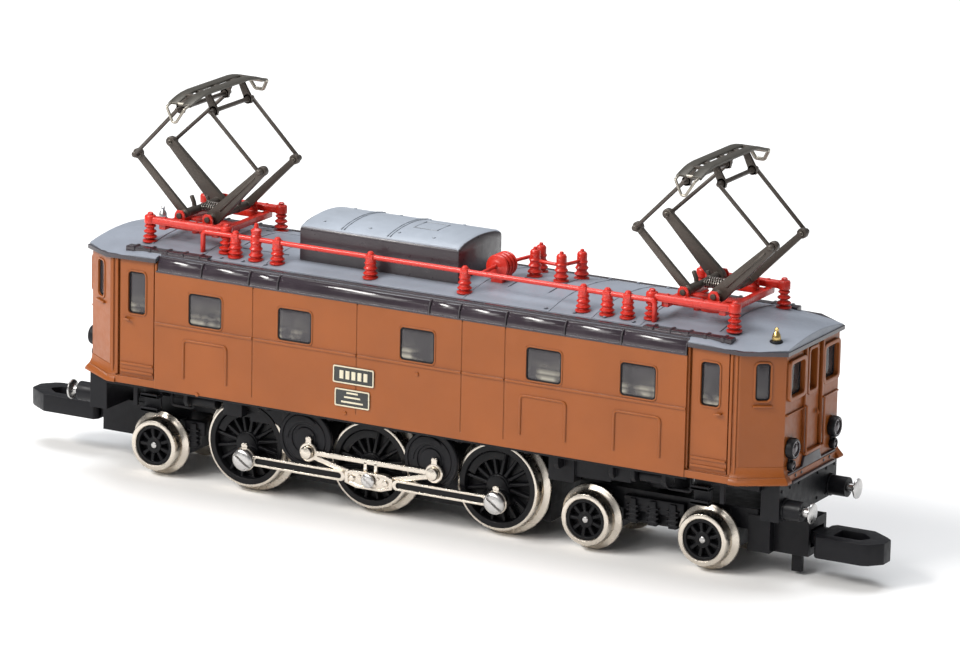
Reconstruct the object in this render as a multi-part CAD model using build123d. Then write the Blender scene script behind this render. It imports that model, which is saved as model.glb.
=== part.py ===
from build123d import *
import math
import os

# Model electric locomotive, 1:220, in millimetres.
# +X points to the bogie end, +Y to the far side, +Z up. Z = 0 is the bottom of the wheel flanges.

# ---- body ----
BODY_X = 29.75          # half length over the cab front faces
CAB_SIDE_X = 26.95      # where the cab side turns into the corner panel
MAIN_X = 22.75          # half length of the wide middle section
SIDE_Y = 6.75           # half width of the middle section
CAB_Y = 6.45            # half width at the cab doors
FRONT_Y = 4.5           # half width of the flat cab front
BODY_Z = 7.9            # lower edge of the body
SIDE_TOP = 17.13        # top of the middle walls
CAB_TOP = 17.9          # top of the cab walls
BEAD_Z = 13.0           # waist bead
WALL = 0.75
WINDOW_X = (-18.27, -10.38, 0.23, 10.95, 18.79)
WINDOW_W = 3.0
WINDOW_Z = (13.32, 15.93)
SIDE_SEAMS = (-14.05, -4.95, 4.05, 7.7)
DOOR_X = 24.55          # centre of each cab door
DOOR_HALF = 1.6
DOOR_WIN_Z = (13.45, 16.85)
DOOR_WIN_W = 1.6
FRONT_WIN_Y = (1.75, 4.0)
FRONT_WIN_Z = (14.3, 16.9)
CORNER_WIN_Z = 15.65    # middle height of the narrow window in each corner panel
CORNER_WIN_W = 1.15
CORNER_WIN_H = 2.9
SKIRT_OUT = 0.25        # how far the flared skirt of each cab stands out
SKIRT_H = 0.55
SEAM = 0.06             # half width of every panel seam
GLASS_T = 0.3
PLATES = ((-6.93, -3.4, 10.8, 12.15), (-6.75, -3.75, 9.0, 10.38))
RAIL_R = 0.09           # front grab rails
RAIL_Y = 1.5
RAIL_Z = (9.6, 13.2)
LAMP_Y = 3.6
LAMP_Z = 10.4
LAMP_R = 0.8
MARKER_Z = 9.15
MARKER_R = 0.42
BUFFER_Y = 3.9
BUFFER_Z = 5.85
STEP_X = (22.95, 24.45)
STEP_Y = (5.15, 6.0)
STEP_Z = (5.7, 6.8)     # underside of each rung

# ---- roof ----
EAVES = 18.2            # underside of the roof over the grille panels
ROOF_CROWN = 19.15
ROOF_R = 23.4           # radius of the roof camber
ROOF_SLOPE = 0.11       # fall of each roof end per mm
ROOF_FLAT_X = 24.3
HOOD_X = (-12.0, 1.85)
HOOD_Y = 3.45
HOOD_EDGE = 21.65
HOOD_CROWN = 22.15
HOOD_WALL = 0.6
HOOD_SEAMS = (-8.2, -5.2, -2.0)
ROOF_SEAMS = (-17.5, 5.6, 9.0, 17.9)
GUTTER_Y = 5.6
COVE_SEAMS = (-18.7, -14.5, -11.95, 1.17, 3.7, 7.65, 12.6, 17.3)
BUS_Y = -4.6
BUS_Z = 20.3
BUS_INSULATORS = (-16.9, -13.2, -5.1, 3.0, 13.0, 15.0, 16.7)
BUS_TALL = -15.1
BUS_ENDS = (-19.8, 18.9)
WHISTLES = ((28.5, -3.8), (-28.5, 3.8))
WHISTLE_TOP = 19.45
SPOOL_R = 0.95
SPOOL = (4.3, -1.2)
POSTS = ((5.9, 1.1), (8.3, 0.8), (5.3, 3.2), (8.9, 3.0))
SPUR_R = 0.14           # thin line between the posts

# ---- running gear ----
DRIVER_X = (-15.88, -4.93, 6.02)
BLIND_X = (-10.405, 0.545)
BLIND_Z = 5.3
DRIVER_R = 3.48
CARRY_R = 2.06
FLANGE_H = 0.48
WHEEL_BACK = 2.95
FLANGE_T = 0.35
WHEEL_FACE = 4.4
DRIVER_Z = DRIVER_R + FLANGE_H
CARRY_Z = CARRY_R + FLANGE_H
PONY_X = -24.25
PONY_PIVOT = -20.0
BOGIE_AXLES = (13.47, 23.24)
BOGIE_PIVOT = 18.35
AXLE_R = 0.6
CARRY_AXLE_R = 0.45
CARRY_BORE = 1.45
CARRY_SPOKES = 9
CENTRE_R = DRIVER_R - 0.42
SPOKES = 16
RUNNING = 0.05          # radial clearance of every turning fit
CRANK_R = 1.0
CRANK_NEAR = -60.0      # crank direction in the XZ plane, degrees from +X
CRANK_FAR = 30.0
PIN_R = 0.4
LINK_Y = (5.05, 5.3)
ROD_Y = (5.32, 5.6)
DISC_Y = (4.6, 4.9)
BLOCK_HALF = 2.1        # half length of the block where the outer rods meet the centre link
COUPLER_PIVOT = 29.6
COUPLER_HEAD = (1.9, 3.6, 36.6)     # underside, top and tip of the right head
LEFT_HEAD = (2.3, 3.75, 38.1)
LEFT_LIFT = 0.55        # the pony's coupler sits higher than the bogie's

DECK_Z = 8.25           # underside of the chassis deck
DECK_TOP = 9.4
KEEL_X = (-18.2, 9.6)
KEEL_Y = 2.4
KEEL_Z = 2.6
TRUCK_Y = 2.6           # half width of the axle boxes of pony and bogie

# ---- drive ----
MODULE = 0.3
DRIVER_TEETH = 12
IDLER_TEETH = 20
IDLER_Z = DRIVER_Z + MODULE * (DRIVER_TEETH + IDLER_TEETH) / 2
WORM_PITCH_R = 0.8
SHAFT_Z = IDLER_Z + MODULE * IDLER_TEETH / 2 + WORM_PITCH_R
SHAFT_R = 0.4
GEAR_X = DRIVER_X[1]
MOTOR_X = (2.6, 11.6)
MOTOR_FLOOR = 8.5
BOARD_Z = 16.9
SCREW_R = 0.45
MOTOR_R = 4.2
MOTOR_Y = 3.7
ROTOR_X = (4.2, 8.6)
ROTOR_R = 2.75
MAGNET_R = (3.05, 3.65)
TOOTH_ROOT = 1.15       # tooth depth below and above the pitch circle, in modules
TOOTH_TIP = 0.8

# ---- pantographs ----
PANTO_X = (-21.4, 21.85)
PIVOT_DX = 1.25         # pivots and head axles stand this far from the centre line
PIVOT_Z = 20.9
KNEE_DX = 5.55
KNEE_Z = 25.1
HEAD_Z = 2 * KNEE_Z - PIVOT_Z
ARM_Y = 2.5
WIRE_R = 0.16
BASE_Y = 4.15
BASE_DX = 3.4
BASE_BAR = 0.24         # half width of the long base bars
TOP_Y = {-1: 3.85, 1: 3.1}
STRIP_Z = HEAD_Z + 1.55
STRIP_DX = 0.62
STRIP_W = 0.42
KNEE_PIN_R = 0.14
KNEE_Y = ARM_Y + 0.5    # plane of the upper wires at the knees
PIVOT_R = 0.25
RAIL_TOP = 20.75        # top of the long base bars
CROSS_Z = (19.75, 20.3)


def block(x0, x1, y0, y1, z0, z1):
    centre = Pos((x0 + x1) / 2, (y0 + y1) / 2, (z0 + z1) / 2)
    return centre * Box(abs(x1 - x0), abs(y1 - y0), abs(z1 - z0))


def rod_y(x, z, y0, y1, r):
    return Pos(x, (y0 + y1) / 2, z) * Rot(90, 0, 0) * Cylinder(r, abs(y1 - y0))


def rod_x(y, z, x0, x1, r):
    return Pos((x0 + x1) / 2, y, z) * Rot(0, 90, 0) * Cylinder(r, abs(x1 - x0))


def rod_z(x, y, z0, z1, r):
    return Pos(x, y, (z0 + z1) / 2) * Cylinder(r, abs(z1 - z0))


def plan(points, z0, z1):
    return Pos(0, 0, z0) * extrude(Polygon(*points, align=None), z1 - z0, dir=(0, 0, 1))


def side_plate(points, y0, y1):
    """Prism whose outline lies in the XZ plane."""
    face = Plane.XZ * Polygon(*points, align=None)
    low, high = min(y0, y1), max(y0, y1)
    return Pos(0, low, 0) * extrude(face, high - low, dir=(0, 1, 0))


def strut(a, b, r):
    """Round wire between two points."""
    start, end = Vector(*a), Vector(*b)
    plane = Plane(origin=start, z_dir=end - start)
    return plane * Cylinder(r, (end - start).length, align=(Align.CENTER, Align.CENTER, Align.MIN))


def turned(part, angle, x=0.0, y=0.0):
    return Pos(x, y, 0) * Rot(0, 0, angle) * Pos(-x, -y, 0) * part


def cab_outline(grow):
    """Plan of the body with its cut-off corners, moved out by grow."""
    gx = BODY_X + grow
    gs = CAB_SIDE_X + 0.5 * grow
    gy = CAB_Y + grow
    gf = FRONT_Y + 0.6 * grow
    return [(gx, -gf), (gx, gf), (gs, gy), (-gs, gy), (-gx, gf), (-gx, -gf), (-gs, -gy), (gs, -gy)]


def corner_window(depth):
    """Narrow window through one corner panel, at the +X near corner."""
    direction = math.degrees(math.atan2(CAB_Y - FRONT_Y, BODY_X - CAB_SIDE_X))
    cx, cy = (CAB_SIDE_X + BODY_X) / 2, -(CAB_Y + FRONT_Y) / 2
    return Pos(cx, cy, CORNER_WIN_Z) * Rot(0, 0, direction) * Box(CORNER_WIN_W, depth, CORNER_WIN_H)


def at_corners(part):
    """The +X near-corner part repeated at all four corners of the body."""
    near = part + mirror(part, Plane.XZ)
    return near + mirror(near, Plane.YZ)


def body_shell():
    outer = plan(cab_outline(0), BODY_Z + 0.1, CAB_TOP)
    outer -= block(-MAIN_X, MAIN_X, -9, 9, SIDE_TOP, CAB_TOP + 1)
    outer += block(-MAIN_X, MAIN_X, -SIDE_Y, SIDE_Y, BODY_Z, SIDE_TOP)
    skirt = plan(cab_outline(SKIRT_OUT), BODY_Z, BODY_Z + SKIRT_H)
    outer += skirt - block(-MAIN_X, MAIN_X, -9, 9, BODY_Z - 1, BODY_Z + 1)
    inner = plan(cab_outline(-WALL), BODY_Z - 1, CAB_TOP + 1)
    inner += block(-MAIN_X + WALL, MAIN_X - WALL, -SIDE_Y + WALL, SIDE_Y - WALL, BODY_Z - 1, CAB_TOP)
    shell = outer - inner
    bead = block(-MAIN_X, MAIN_X, -SIDE_Y - 0.1, SIDE_Y + 0.1, BEAD_Z, BEAD_Z + 0.18)
    bead -= block(-MAIN_X - 1, MAIN_X + 1, -SIDE_Y, SIDE_Y, BEAD_Z - 1, BEAD_Z + 1)
    shell += bead
    w0, w1 = WINDOW_Z
    for x in WINDOW_X:
        shell -= block(x - WINDOW_W / 2, x + WINDOW_W / 2, -9, 9, w0, w1)
    d0, d1 = DOOR_WIN_Z
    for end in (-1, 1):
        x = end * DOOR_X
        shell -= block(x - DOOR_WIN_W / 2, x + DOOR_WIN_W / 2, -9, 9, d0, d1)
        for edge in (-1, 1):
            groove_x = x + edge * DOOR_HALF
            for side in (-1, 1):
                y = side * CAB_Y
                shell -= block(groove_x - 0.1, groove_x + 0.1, y - 0.15, y + 0.15, BODY_Z + 0.6, CAB_TOP)
        f0, f1 = FRONT_WIN_Y
        z0, z1 = FRONT_WIN_Z
        for side in (-1, 1):
            shell -= block(end * (BODY_X - 2), end * (BODY_X + 1), side * f0, side * f1, z0, z1)
            shell -= block(end * (BODY_X - 0.15), end * (BODY_X + 1), side * 1.15, side * 1.3, 9.0, CAB_TOP)
        shell -= block(end * (BODY_X - 2), end * (BODY_X + 1), -0.7, 0.7, 14.0, 17.3)
    shell -= at_corners(corner_window(3))
    for side in (-1, 1):
        for x in SIDE_SEAMS:
            y = side * SIDE_Y
            shell -= block(x - SEAM, x + SEAM, y - 2 * SEAM, y + 2 * SEAM, BODY_Z + 0.6, SIDE_TOP)
    return shell + front_handrails()


def window_glazing():
    """Clear panes standing just inside every window opening."""
    t = GLASS_T
    panes = []
    y = SIDE_Y - WALL - t
    for side in (-1, 1):
        for x in WINDOW_X:
            panes.append(block(x - 1.75, x + 1.75, side * y, side * (y + t), 13.0, 16.3))
        for end in (-1, 1):
            x = end * DOOR_X
            cab = CAB_Y - WALL
            panes.append(block(x - 1.0, x + 1.0, side * (cab - t), side * cab, 13.2, 17.1))
    for end in (-1, 1):
        front = end * (BODY_X - WALL)
        panes.append(block(front - end * t, front, -4.0, 4.0, 13.9, 17.4))
    direction = math.degrees(math.atan2(CAB_Y - FRONT_Y, BODY_X - CAB_SIDE_X))
    cx, cy = (CAB_SIDE_X + BODY_X) / 2, -(CAB_Y + FRONT_Y) / 2
    pane = Pos(0.1, WALL + t / 2 + 0.1, 0) * Box(CORNER_WIN_W + 0.35, t, CORNER_WIN_H + 0.3)
    pane = Pos(cx, cy, CORNER_WIN_Z) * Rot(0, 0, direction) * pane
    panes.append(at_corners(pane))
    glass = panes[0]
    for pane in panes[1:]:
        glass += pane
    return glass


def camber_face(x):
    """Roof cross-section above the eaves, in the plane at x."""
    half = 7.2
    drop = half * half / (2 * ROOF_R)
    top = ThreePointArc((-half, ROOF_CROWN - drop), (0, ROOF_CROWN), (half, ROOF_CROWN - drop))
    rest = Polyline((half, ROOF_CROWN - drop), (half, 14.0), (-half, 14.0), (-half, ROOF_CROWN - drop))
    return Plane(origin=(x, 0, 0), x_dir=(0, 1, 0), z_dir=(1, 0, 0)) * make_face([top, rest])


def roof_block():
    middle = extrude(camber_face(-ROOF_FLAT_X), 2 * ROOF_FLAT_X, dir=(1, 0, 0))
    right = extrude(camber_face(ROOF_FLAT_X - 0.01), 6.5, dir=(1, 0, -ROOF_SLOPE))
    return middle + right + mirror(right, Plane.YZ)


def roof():
    cab = plan(cab_outline(0.2), CAB_TOP, 20)
    cab -= block(-MAIN_X, MAIN_X, -9, 9, CAB_TOP - 1, 21)
    middle = block(-MAIN_X, MAIN_X, -6.25, 6.25, EAVES, 20)
    shape = (cab + middle) & roof_block()
    for side in (-1, 1):
        y = side * GUTTER_Y
        shape -= block(-21.5, 21.5, y - SEAM, y + SEAM, EAVES + 0.22, 20)
    for x in ROOF_SEAMS:
        shape -= block(x - SEAM, x + SEAM, -5.0, 5.0, 19.0, 20)
    for x, y in WHISTLES:
        shape -= rod_z(x, y, 17, 20, 0.25)
    return shape


def roof_hood():
    """Box-shaped roof house with a gently curved lid."""
    x0, x1 = HOOD_X
    base = 17.5
    top = ThreePointArc((-HOOD_Y, HOOD_EDGE), (0, HOOD_CROWN), (HOOD_Y, HOOD_EDGE))
    rest = Polyline((HOOD_Y, HOOD_EDGE), (HOOD_Y, base), (-HOOD_Y, base), (-HOOD_Y, HOOD_EDGE))
    face = Plane(origin=(x0, 0, 0), x_dir=(0, 1, 0), z_dir=(1, 0, 0)) * make_face([top, rest])
    hood = extrude(face, x1 - x0, dir=(1, 0, 0)) - roof_block()
    wall = HOOD_WALL
    hood -= block(x0 + wall, x1 - wall, -HOOD_Y + wall, HOOD_Y - wall, base, HOOD_EDGE - wall)
    lid_z = HOOD_CROWN - 0.1
    for x in HOOD_SEAMS:
        hood -= block(x - SEAM, x + SEAM, -2.0, 2.0, lid_z, lid_z + 1)
    return hood


def cove_panels():
    """Curved grille panels between the body side and the roof, cut into lengths by seams."""
    outline = [(5.95, SIDE_TOP), (6.72, SIDE_TOP), (6.7, 17.5), (6.58, 17.8), (6.42, 18.0), (6.25, EAVES),
               (5.95, EAVES)]
    plane = Plane(origin=(-MAIN_X + 0.05, 0, 0), x_dir=(0, 1, 0), z_dir=(1, 0, 0))
    strip = extrude(plane * Polygon(*outline, align=None), 2 * MAIN_X - 0.1, dir=(1, 0, 0))
    for x in COVE_SEAMS:
        strip -= block(x - 0.12, x + 0.12, 6.3, 7, 17, 19) - block(-30, 30, 6.3, 6.45, 17, 18)
    return strip + mirror(strip, Plane.XZ)


def insulator(x, y, z, height):
    """Ribbed standing insulator."""
    pin = rod_z(x, y, z, z + height, 0.38)
    ribs = 3
    for i in range(ribs):
        level = z + 0.12 + i * height / ribs
        pin += rod_z(x, y, level, level + 0.2, 0.5 if i else 0.55)
    return pin


def roof_height(y):
    return ROOF_CROWN - y * y / (2 * ROOF_R)


def roof_busbar():
    """High-tension line with its insulators and the switchgear group beside the hood."""
    foot = roof_height(BUS_Y) - 0.3
    bar = rod_x(BUS_Y, BUS_Z, BUS_ENDS[0], BUS_ENDS[1], 0.2)
    for x in BUS_ENDS:
        bar += rod_z(x, BUS_Y, foot, BUS_Z, 0.2)
        bar += Pos(x, BUS_Y, BUS_Z) * Sphere(0.2)
    for x in BUS_INSULATORS:
        bar += insulator(x, BUS_Y, foot, BUS_Z - foot + 0.1)
        bar += rod_z(x, BUS_Y, BUS_Z - 0.1, BUS_Z + 0.35, 0.32)
    bar += insulator(BUS_TALL, BUS_Y, foot, BUS_Z - foot + 0.8)
    bar += Pos(BUS_TALL, BUS_Y, BUS_Z + 0.95) * Cone(0.42, 0.12, 0.7)
    bar += branch_line()
    return bar - roof_block()


def branch_line():
    """Spool insulator at the hood end and four insulators joined by a thin line."""
    deck = ROOF_CROWN
    x0, y0 = SPOOL
    group = rod_z(x0, y0, deck - 0.3, deck + 0.6, 0.75)
    group += rod_y(x0, deck + 1.1, y0 - 1.0, y0 + 1.0, SPOOL_R - 0.3)
    for y in (-0.75, -0.25, 0.25, 0.75):
        group += rod_y(x0, deck + 1.1, y0 + y - 0.12, y0 + y + 0.12, SPOOL_R)
    for x, y in POSTS:
        low = roof_height(y) - 0.2
        group += insulator(x, y, low, 1.9)
        group += rod_z(x, y, low + 1.7, low + 2.3, 0.35)
    wire_z = deck + 1.2
    tops = [(x, y, wire_z) for x, y in POSTS]
    group += strut((x0, y0 + 1.0, wire_z - 0.1), tops[2], SPUR_R)
    for a, b in ((2, 0), (0, 1), (1, 3)):
        group += strut(tops[a], tops[b], SPUR_R)
    group += strut((x0, y0 - 0.9, wire_z), (x0, BUS_Y, BUS_Z), SPUR_R)
    return group


def whistles():
    parts = None
    for x, y in WHISTLES:
        pin = rod_z(x, y, 17.95, WHISTLE_TOP - 0.2, 0.22)
        pin += rod_z(x, y, 18.5, 18.95, 0.36)
        pin += Pos(x, y, WHISTLE_TOP - 0.26) * Sphere(0.26)
        parts = pin if parts is None else parts + pin
    return parts


def headlamps():
    lamps = None
    for end in (-1, 1):
        for side in (-1, 1):
            y = side * LAMP_Y
            front = BODY_X
            lamp = rod_x(y, LAMP_Z, end * front, end * (front + 0.55), LAMP_R)
            lamp -= rod_x(y, LAMP_Z, end * (front + 0.4), end * (front + 1), LAMP_R - 0.18)
            lamp += rod_x(y, LAMP_Z, end * front, end * (front + 0.48), LAMP_R - 0.3)
            lamp += rod_x(y, MARKER_Z, end * front, end * (front + 0.4), MARKER_R)
            lamps = lamp if lamps is None else lamps + lamp
    return lamps


def number_plates():
    plates = None
    for side in (-1, 1):
        y = side * SIDE_Y
        out = side * (SIDE_Y + 0.1)
        for x0, x1, z0, z1 in PLATES:
            plate = block(x0, x1, y, out, z0, z1)
            plates = plate if plates is None else plates + plate
    return plates


def front_handrails():
    """Grab rails moulded on both cab fronts."""
    rails = None
    for end in (-1, 1):
        for side in (-1, 1):
            x = end * (BODY_X + 0.35)
            y = side * RAIL_Y
            rail = rod_z(x, y, RAIL_Z[0], RAIL_Z[1], RAIL_R)
            for z in RAIL_Z:
                rail += rod_x(y, z, end * (BODY_X - 0.2), end * (BODY_X + 0.35), RAIL_R)
            rails = rail if rails is None else rails + rail
    return rails


def buffer_beams():
    """End underframe: cross beam, buffer sleeves and the step under each cab door."""
    beam = block(28.2, 29.7, -4.9, 4.9, 5.0, BODY_Z - 0.02)
    beam += block(26.3, 28.25, -3.9, 3.9, 6.9, DECK_Z)
    for side in (-1, 1):
        y = side * BUFFER_Y
        beam += rod_x(y, BUFFER_Z, 29.7, 31.2, 0.75)
        beam -= rod_x(y, BUFFER_Z, 30.2, 32, 0.4)
        back, tread = side * STEP_Y[0], side * STEP_Y[1]
        plate = back + side * 0.25
        hanger = block(23.0, 24.4, back, plate, STEP_Z[0], BODY_Z - 0.02)
        for z in STEP_Z:
            hanger += block(STEP_X[0], STEP_X[1], back, tread, z, z + 0.22)
        hanger += block(25.1, 25.45, back, plate, 5.9, BODY_Z - 0.02)
        hanger += block(23.0, 28.3, side * 4.7, plate, 7.3, BODY_Z - 0.02)
        beam += hanger
    return beam + mirror(beam, Plane.YZ)


def buffers():
    """Heads with their stems, fixed in the sleeves."""
    heads = None
    for end in (-1, 1):
        for side in (-1, 1):
            y = side * BUFFER_Y
            head = rod_x(y, BUFFER_Z, end * 30.25, end * 31.9, 0.33)
            head += rod_x(y, BUFFER_Z, end * 31.85, end * 32.1, 0.85)
            heads = head if heads is None else heads + head
    return heads


def chassis_frame():
    """Cast frame: narrow keel between the wheels, deck plate, bearing posts and truck pins."""
    top = DECK_TOP
    frame = block(KEEL_X[0], KEEL_X[1], -KEEL_Y, KEEL_Y, KEEL_Z, 8.3)
    frame += block(-22.5, 22.5, -5.6, 5.6, DECK_Z, top) + block(-28.3, 28.3, -3.9, 3.9, DECK_Z, top)
    for x in (-17.0, 14.5):
        frame += block(x - 1, x + 1, -SIDE_Y + WALL, SIDE_Y - WALL, DECK_Z + 0.2, top)
    frame += block(-9.2, -1.2, -1.6, 1.6, top, SHAFT_Z + 1.0)
    frame += block(12.7, 14.2, -1.6, 1.6, top, SHAFT_Z + 1.0)
    frame -= block(GEAR_X - 3.5, GEAR_X + 3.5, -0.85, 0.85, 1, 14)
    frame -= block(GEAR_X - 2.6, GEAR_X + 2.6, -1.25, 1.25, SHAFT_Z - 1.3, 15)
    frame -= rod_x(0, SHAFT_Z, -10, 15, SHAFT_R + RUNNING)
    frame -= block(MOTOR_X[0], 12.7, -MOTOR_Y, MOTOR_Y, MOTOR_FLOOR, 10)
    frame += rod_y(GEAR_X, IDLER_Z, -1.0, 1.0, AXLE_R)
    for x in DRIVER_X:
        frame -= rod_y(x, DRIVER_Z, -5, 5, AXLE_R + RUNNING)
        frame -= block(x - AXLE_R - RUNNING, x + AXLE_R + RUNNING, -5, 5, 2, DRIVER_Z)
    for x in BLIND_X:
        frame -= rod_y(x, BLIND_Z, -5, 5, AXLE_R + RUNNING)
        frame -= rod_z(x, 0, 2, 3.2, SCREW_R)
    for x in (-8.2, 13.45):
        frame += rod_z(x, 0, SHAFT_Z + 0.9, BOARD_Z, 0.6)
    frame += rod_z(PONY_PIVOT, 0, 5.85, 8.3, 1.4) + rod_z(PONY_PIVOT, 0, 4.6, 6.0, 0.7)
    frame += rod_z(BOGIE_PIVOT, 0, 5.15, 8.3, 1.8) + rod_z(BOGIE_PIVOT, 0, 3.7, 5.3, 0.85)
    return frame


def keeper_plate():
    """Plastic plate under the keel that holds the axles in."""
    plate = block(KEEL_X[0], KEEL_X[1], -KEEL_Y, KEEL_Y, 1.3, KEEL_Z)
    plate += block(-18.0, -13.9, -1.9, 1.9, 1.15, 1.3) + block(3.9, 8.1, -1.9, 1.9, 1.15, 1.3)
    plate -= block(GEAR_X - 2.6, GEAR_X + 2.6, -0.85, 0.85, 1.65, 3)
    for x in DRIVER_X:
        if x != GEAR_X:
            half = AXLE_R - 0.05
            plate += block(x - half, x + half, -2.2, 2.2, 2.5, DRIVER_Z - AXLE_R - RUNNING)
    for x in BLIND_X:
        plate -= rod_z(x, 0, 1.0, 3.0, SCREW_R)
    return plate


def keeper_screws():
    screws = None
    for x in BLIND_X:
        screw = rod_z(x, 0, 1.3, 3.2, SCREW_R)
        screw -= block(x - 0.1, x + 0.1, -0.5, 0.5, 1.2, 1.5)
        screws = screw if screws is None else screws + screw
    return screws


def motor_stator():
    """Steel yoke of the motor with its two magnets."""
    x0, x1 = MOTOR_X
    case = rod_x(0, SHAFT_Z, x0, x1, MOTOR_R) & block(x0, x1, -MOTOR_Y, MOTOR_Y, MOTOR_FLOOR, 17.5)
    case -= rod_x(0, SHAFT_Z, x0 + 0.5, x1 + 1, MOTOR_R - 0.6)
    case -= rod_x(0, SHAFT_Z, x0 - 1, x1, SHAFT_R + RUNNING)
    m0, m1 = x0 + 1.2, x1 - 2.6
    magnets = rod_x(0, SHAFT_Z, m0, m1, MAGNET_R[1]) - rod_x(0, SHAFT_Z, m0 - 1, m1 + 1, MAGNET_R[0])
    magnets -= block(m0 - 1, m1 + 1, -9, 9, SHAFT_Z - 1.2, SHAFT_Z + 1.2)
    for side in (-1, 1):
        case -= block(4.2, 9.2, side * 3, side * 5, SHAFT_Z - 1.0, SHAFT_Z + 1.0)
    return case + magnets


def brush_plate():
    """Plastic motor end cap with two brush tubes."""
    x1 = MOTOR_X[1]
    cap = rod_x(0, SHAFT_Z, x1 - 0.6, x1 + 0.5, 3.55) & block(0, 20, -3.65, 3.65, 8, 18)
    cap -= rod_x(0, SHAFT_Z, x1 - 1, x1 + 1, SHAFT_R + RUNNING)
    for side in (-1, 1):
        cap += rod_y(x1 - 0.9, SHAFT_Z, side * 1.2, side * 2.9, 0.45)
    return cap


def circuit_board():
    """Printed board lying over the motor, with one choke."""
    board = block(-9.3, 14.8, -3.9, 3.9, BOARD_Z, BOARD_Z + 0.4)
    return board + rod_x(2.4, BOARD_Z + 0.6, 8.5, 12.0, 0.35)


def worm_shaft():
    """Motor shaft with its single-start worm; one thread crest points down at the worm wheel."""
    pitch = math.pi * MODULE
    turns = 4
    start = GEAR_X - turns / 2 * pitch
    root = WORM_PITCH_R - 0.26
    shaft = rod_x(0, SHAFT_Z, -8.9, 13.9, SHAFT_R)
    shaft += rod_x(0, SHAFT_Z, start - 0.2, start + turns * pitch + 0.2, root)
    helix = Helix(pitch=pitch, height=turns * pitch, radius=root - 0.04)
    section = Plane(origin=helix @ 0, x_dir=(1, 0, 0), z_dir=helix % 0)
    crest = 0.42
    profile = section * Polygon((-0.1, -0.22), (crest, -0.09), (crest, 0.09), (-0.1, 0.22), align=None)
    ridge = sweep(profile, path=helix, is_frenet=True)
    return shaft + Pos(start, 0, SHAFT_Z) * Rot(0, 90, 0) * ridge


def armature():
    """Three-pole rotor with windings and commutator."""
    x0, x1 = ROTOR_X
    core = rod_x(0, SHAFT_Z, x0, x1, ROTOR_R)
    for i in range(3):
        slot = block(x0 - 1, x1 + 1, 0.9, 3.2, -0.45, 0.45) + block(x0 - 1, x1 + 1, 0.9, 1.9, -0.9, 0.9)
        core -= Pos(0, 0, SHAFT_Z) * Rot(90 + 120 * i, 0, 0) * slot
    coil = rod_x(0, SHAFT_Z, x0 - 0.4, x1 + 0.4, 1.7)
    rotor = core + coil + rod_x(0, SHAFT_Z, x1 + 0.4, x1 + 2.3, 1.0)
    return rotor - rod_x(0, SHAFT_Z, 0, 13, SHAFT_R)


def gear(teeth, half_width, bore):
    """Spur gear about Y at the origin, with a tooth gap at the bottom."""
    root = MODULE * (teeth / 2 - TOOTH_ROOT)
    tip = MODULE * (teeth / 2 + TOOTH_TIP)
    wheel = rod_y(0, 0, -half_width, half_width, root)
    low, high = 0.46 * MODULE * 1.7, 0.2 * MODULE * 1.7
    tooth = side_plate([(root - 0.1, -low), (tip, -high), (tip, high), (root - 0.1, low)],
                       -half_width, half_width)
    for i in range(teeth):
        wheel += Rot(0, 360.0 * i / teeth, 0) * tooth
    return wheel - rod_y(0, 0, -9, 9, bore)


def driver_gear():
    """Gear on the middle driven axle; a tooth points straight up."""
    return Pos(GEAR_X, 0, DRIVER_Z) * Rot(0, 90, 0) * gear(DRIVER_TEETH, 0.6, AXLE_R)


def idler_gear():
    """Worm wheel; a tooth gap points straight down at the driver gear and straight up at the worm."""
    half_tooth = 180.0 / IDLER_TEETH
    return Pos(GEAR_X, 0, IDLER_Z) * Rot(0, 90 + half_tooth, 0) * gear(IDLER_TEETH, 0.6, AXLE_R + RUNNING)


def tyre(x, z, side, tread, inner):
    """Rim with its flange, for one wheel."""
    back = side * WHEEL_BACK
    rim = rod_y(x, z, back, side * WHEEL_FACE, tread)
    rim += rod_y(x, z, back, side * (WHEEL_BACK + FLANGE_T), tread + FLANGE_H)
    return rim - rod_y(x, z, -9, 9, inner)


def crank_offset(side):
    angle = math.radians(CRANK_NEAR if side < 0 else CRANK_FAR)
    return CRANK_R * math.cos(angle), CRANK_R * math.sin(angle)


def driver_centres(x):
    """Spoked centres with crank bosses."""
    pair = None
    for side in (-1, 1):
        hub = rod_y(x, DRIVER_Z, side * (WHEEL_BACK + 0.1), side * (WHEEL_FACE - 0.1), CENTRE_R)
        for i in range(SPOKES):
            gap = Pos(2.05, 0, 0) * Box(1.0, 9, 0.38)
            cut = Pos(x, 0, DRIVER_Z) * Rot(0, 360.0 * (i + 0.5) / SPOKES, 0) * gap
            hub -= cut & block(x - 5, x + 5, side * 3.7, side * 5, 0, 9)
        dx, dz = crank_offset(side)
        hub += rod_y(x + dx, DRIVER_Z + dz, side * (WHEEL_FACE - 0.5), side * 4.85, 0.8)
        hub -= rod_y(x, DRIVER_Z, side * 2, side * 4.25, AXLE_R)
        hub -= rod_y(x + dx, DRIVER_Z + dz, side * 4.0, side * 5, PIN_R)
        pair = hub if pair is None else pair + hub
    return pair


def driver_tyres(x):
    return tyre(x, DRIVER_Z, -1, DRIVER_R, CENTRE_R) + tyre(x, DRIVER_Z, 1, DRIVER_R, CENTRE_R)


def driver_axle(x):
    """Axle with the two crank-pin screws."""
    axle = rod_y(x, DRIVER_Z, -4.2, 4.2, AXLE_R)
    for side in (-1, 1):
        dx, dz = crank_offset(side)
        px, pz = x + dx, DRIVER_Z + dz
        axle += rod_y(px, pz, side * 4.25, side * 5.7, PIN_R)
        axle += rod_y(px, pz, side * 5.65, side * 5.95, 0.62)
        axle -= block(px - 0.9, px + 0.9, side * 5.85, side * 6.1, pz - 0.09, pz + 0.09)
    return axle


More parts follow.
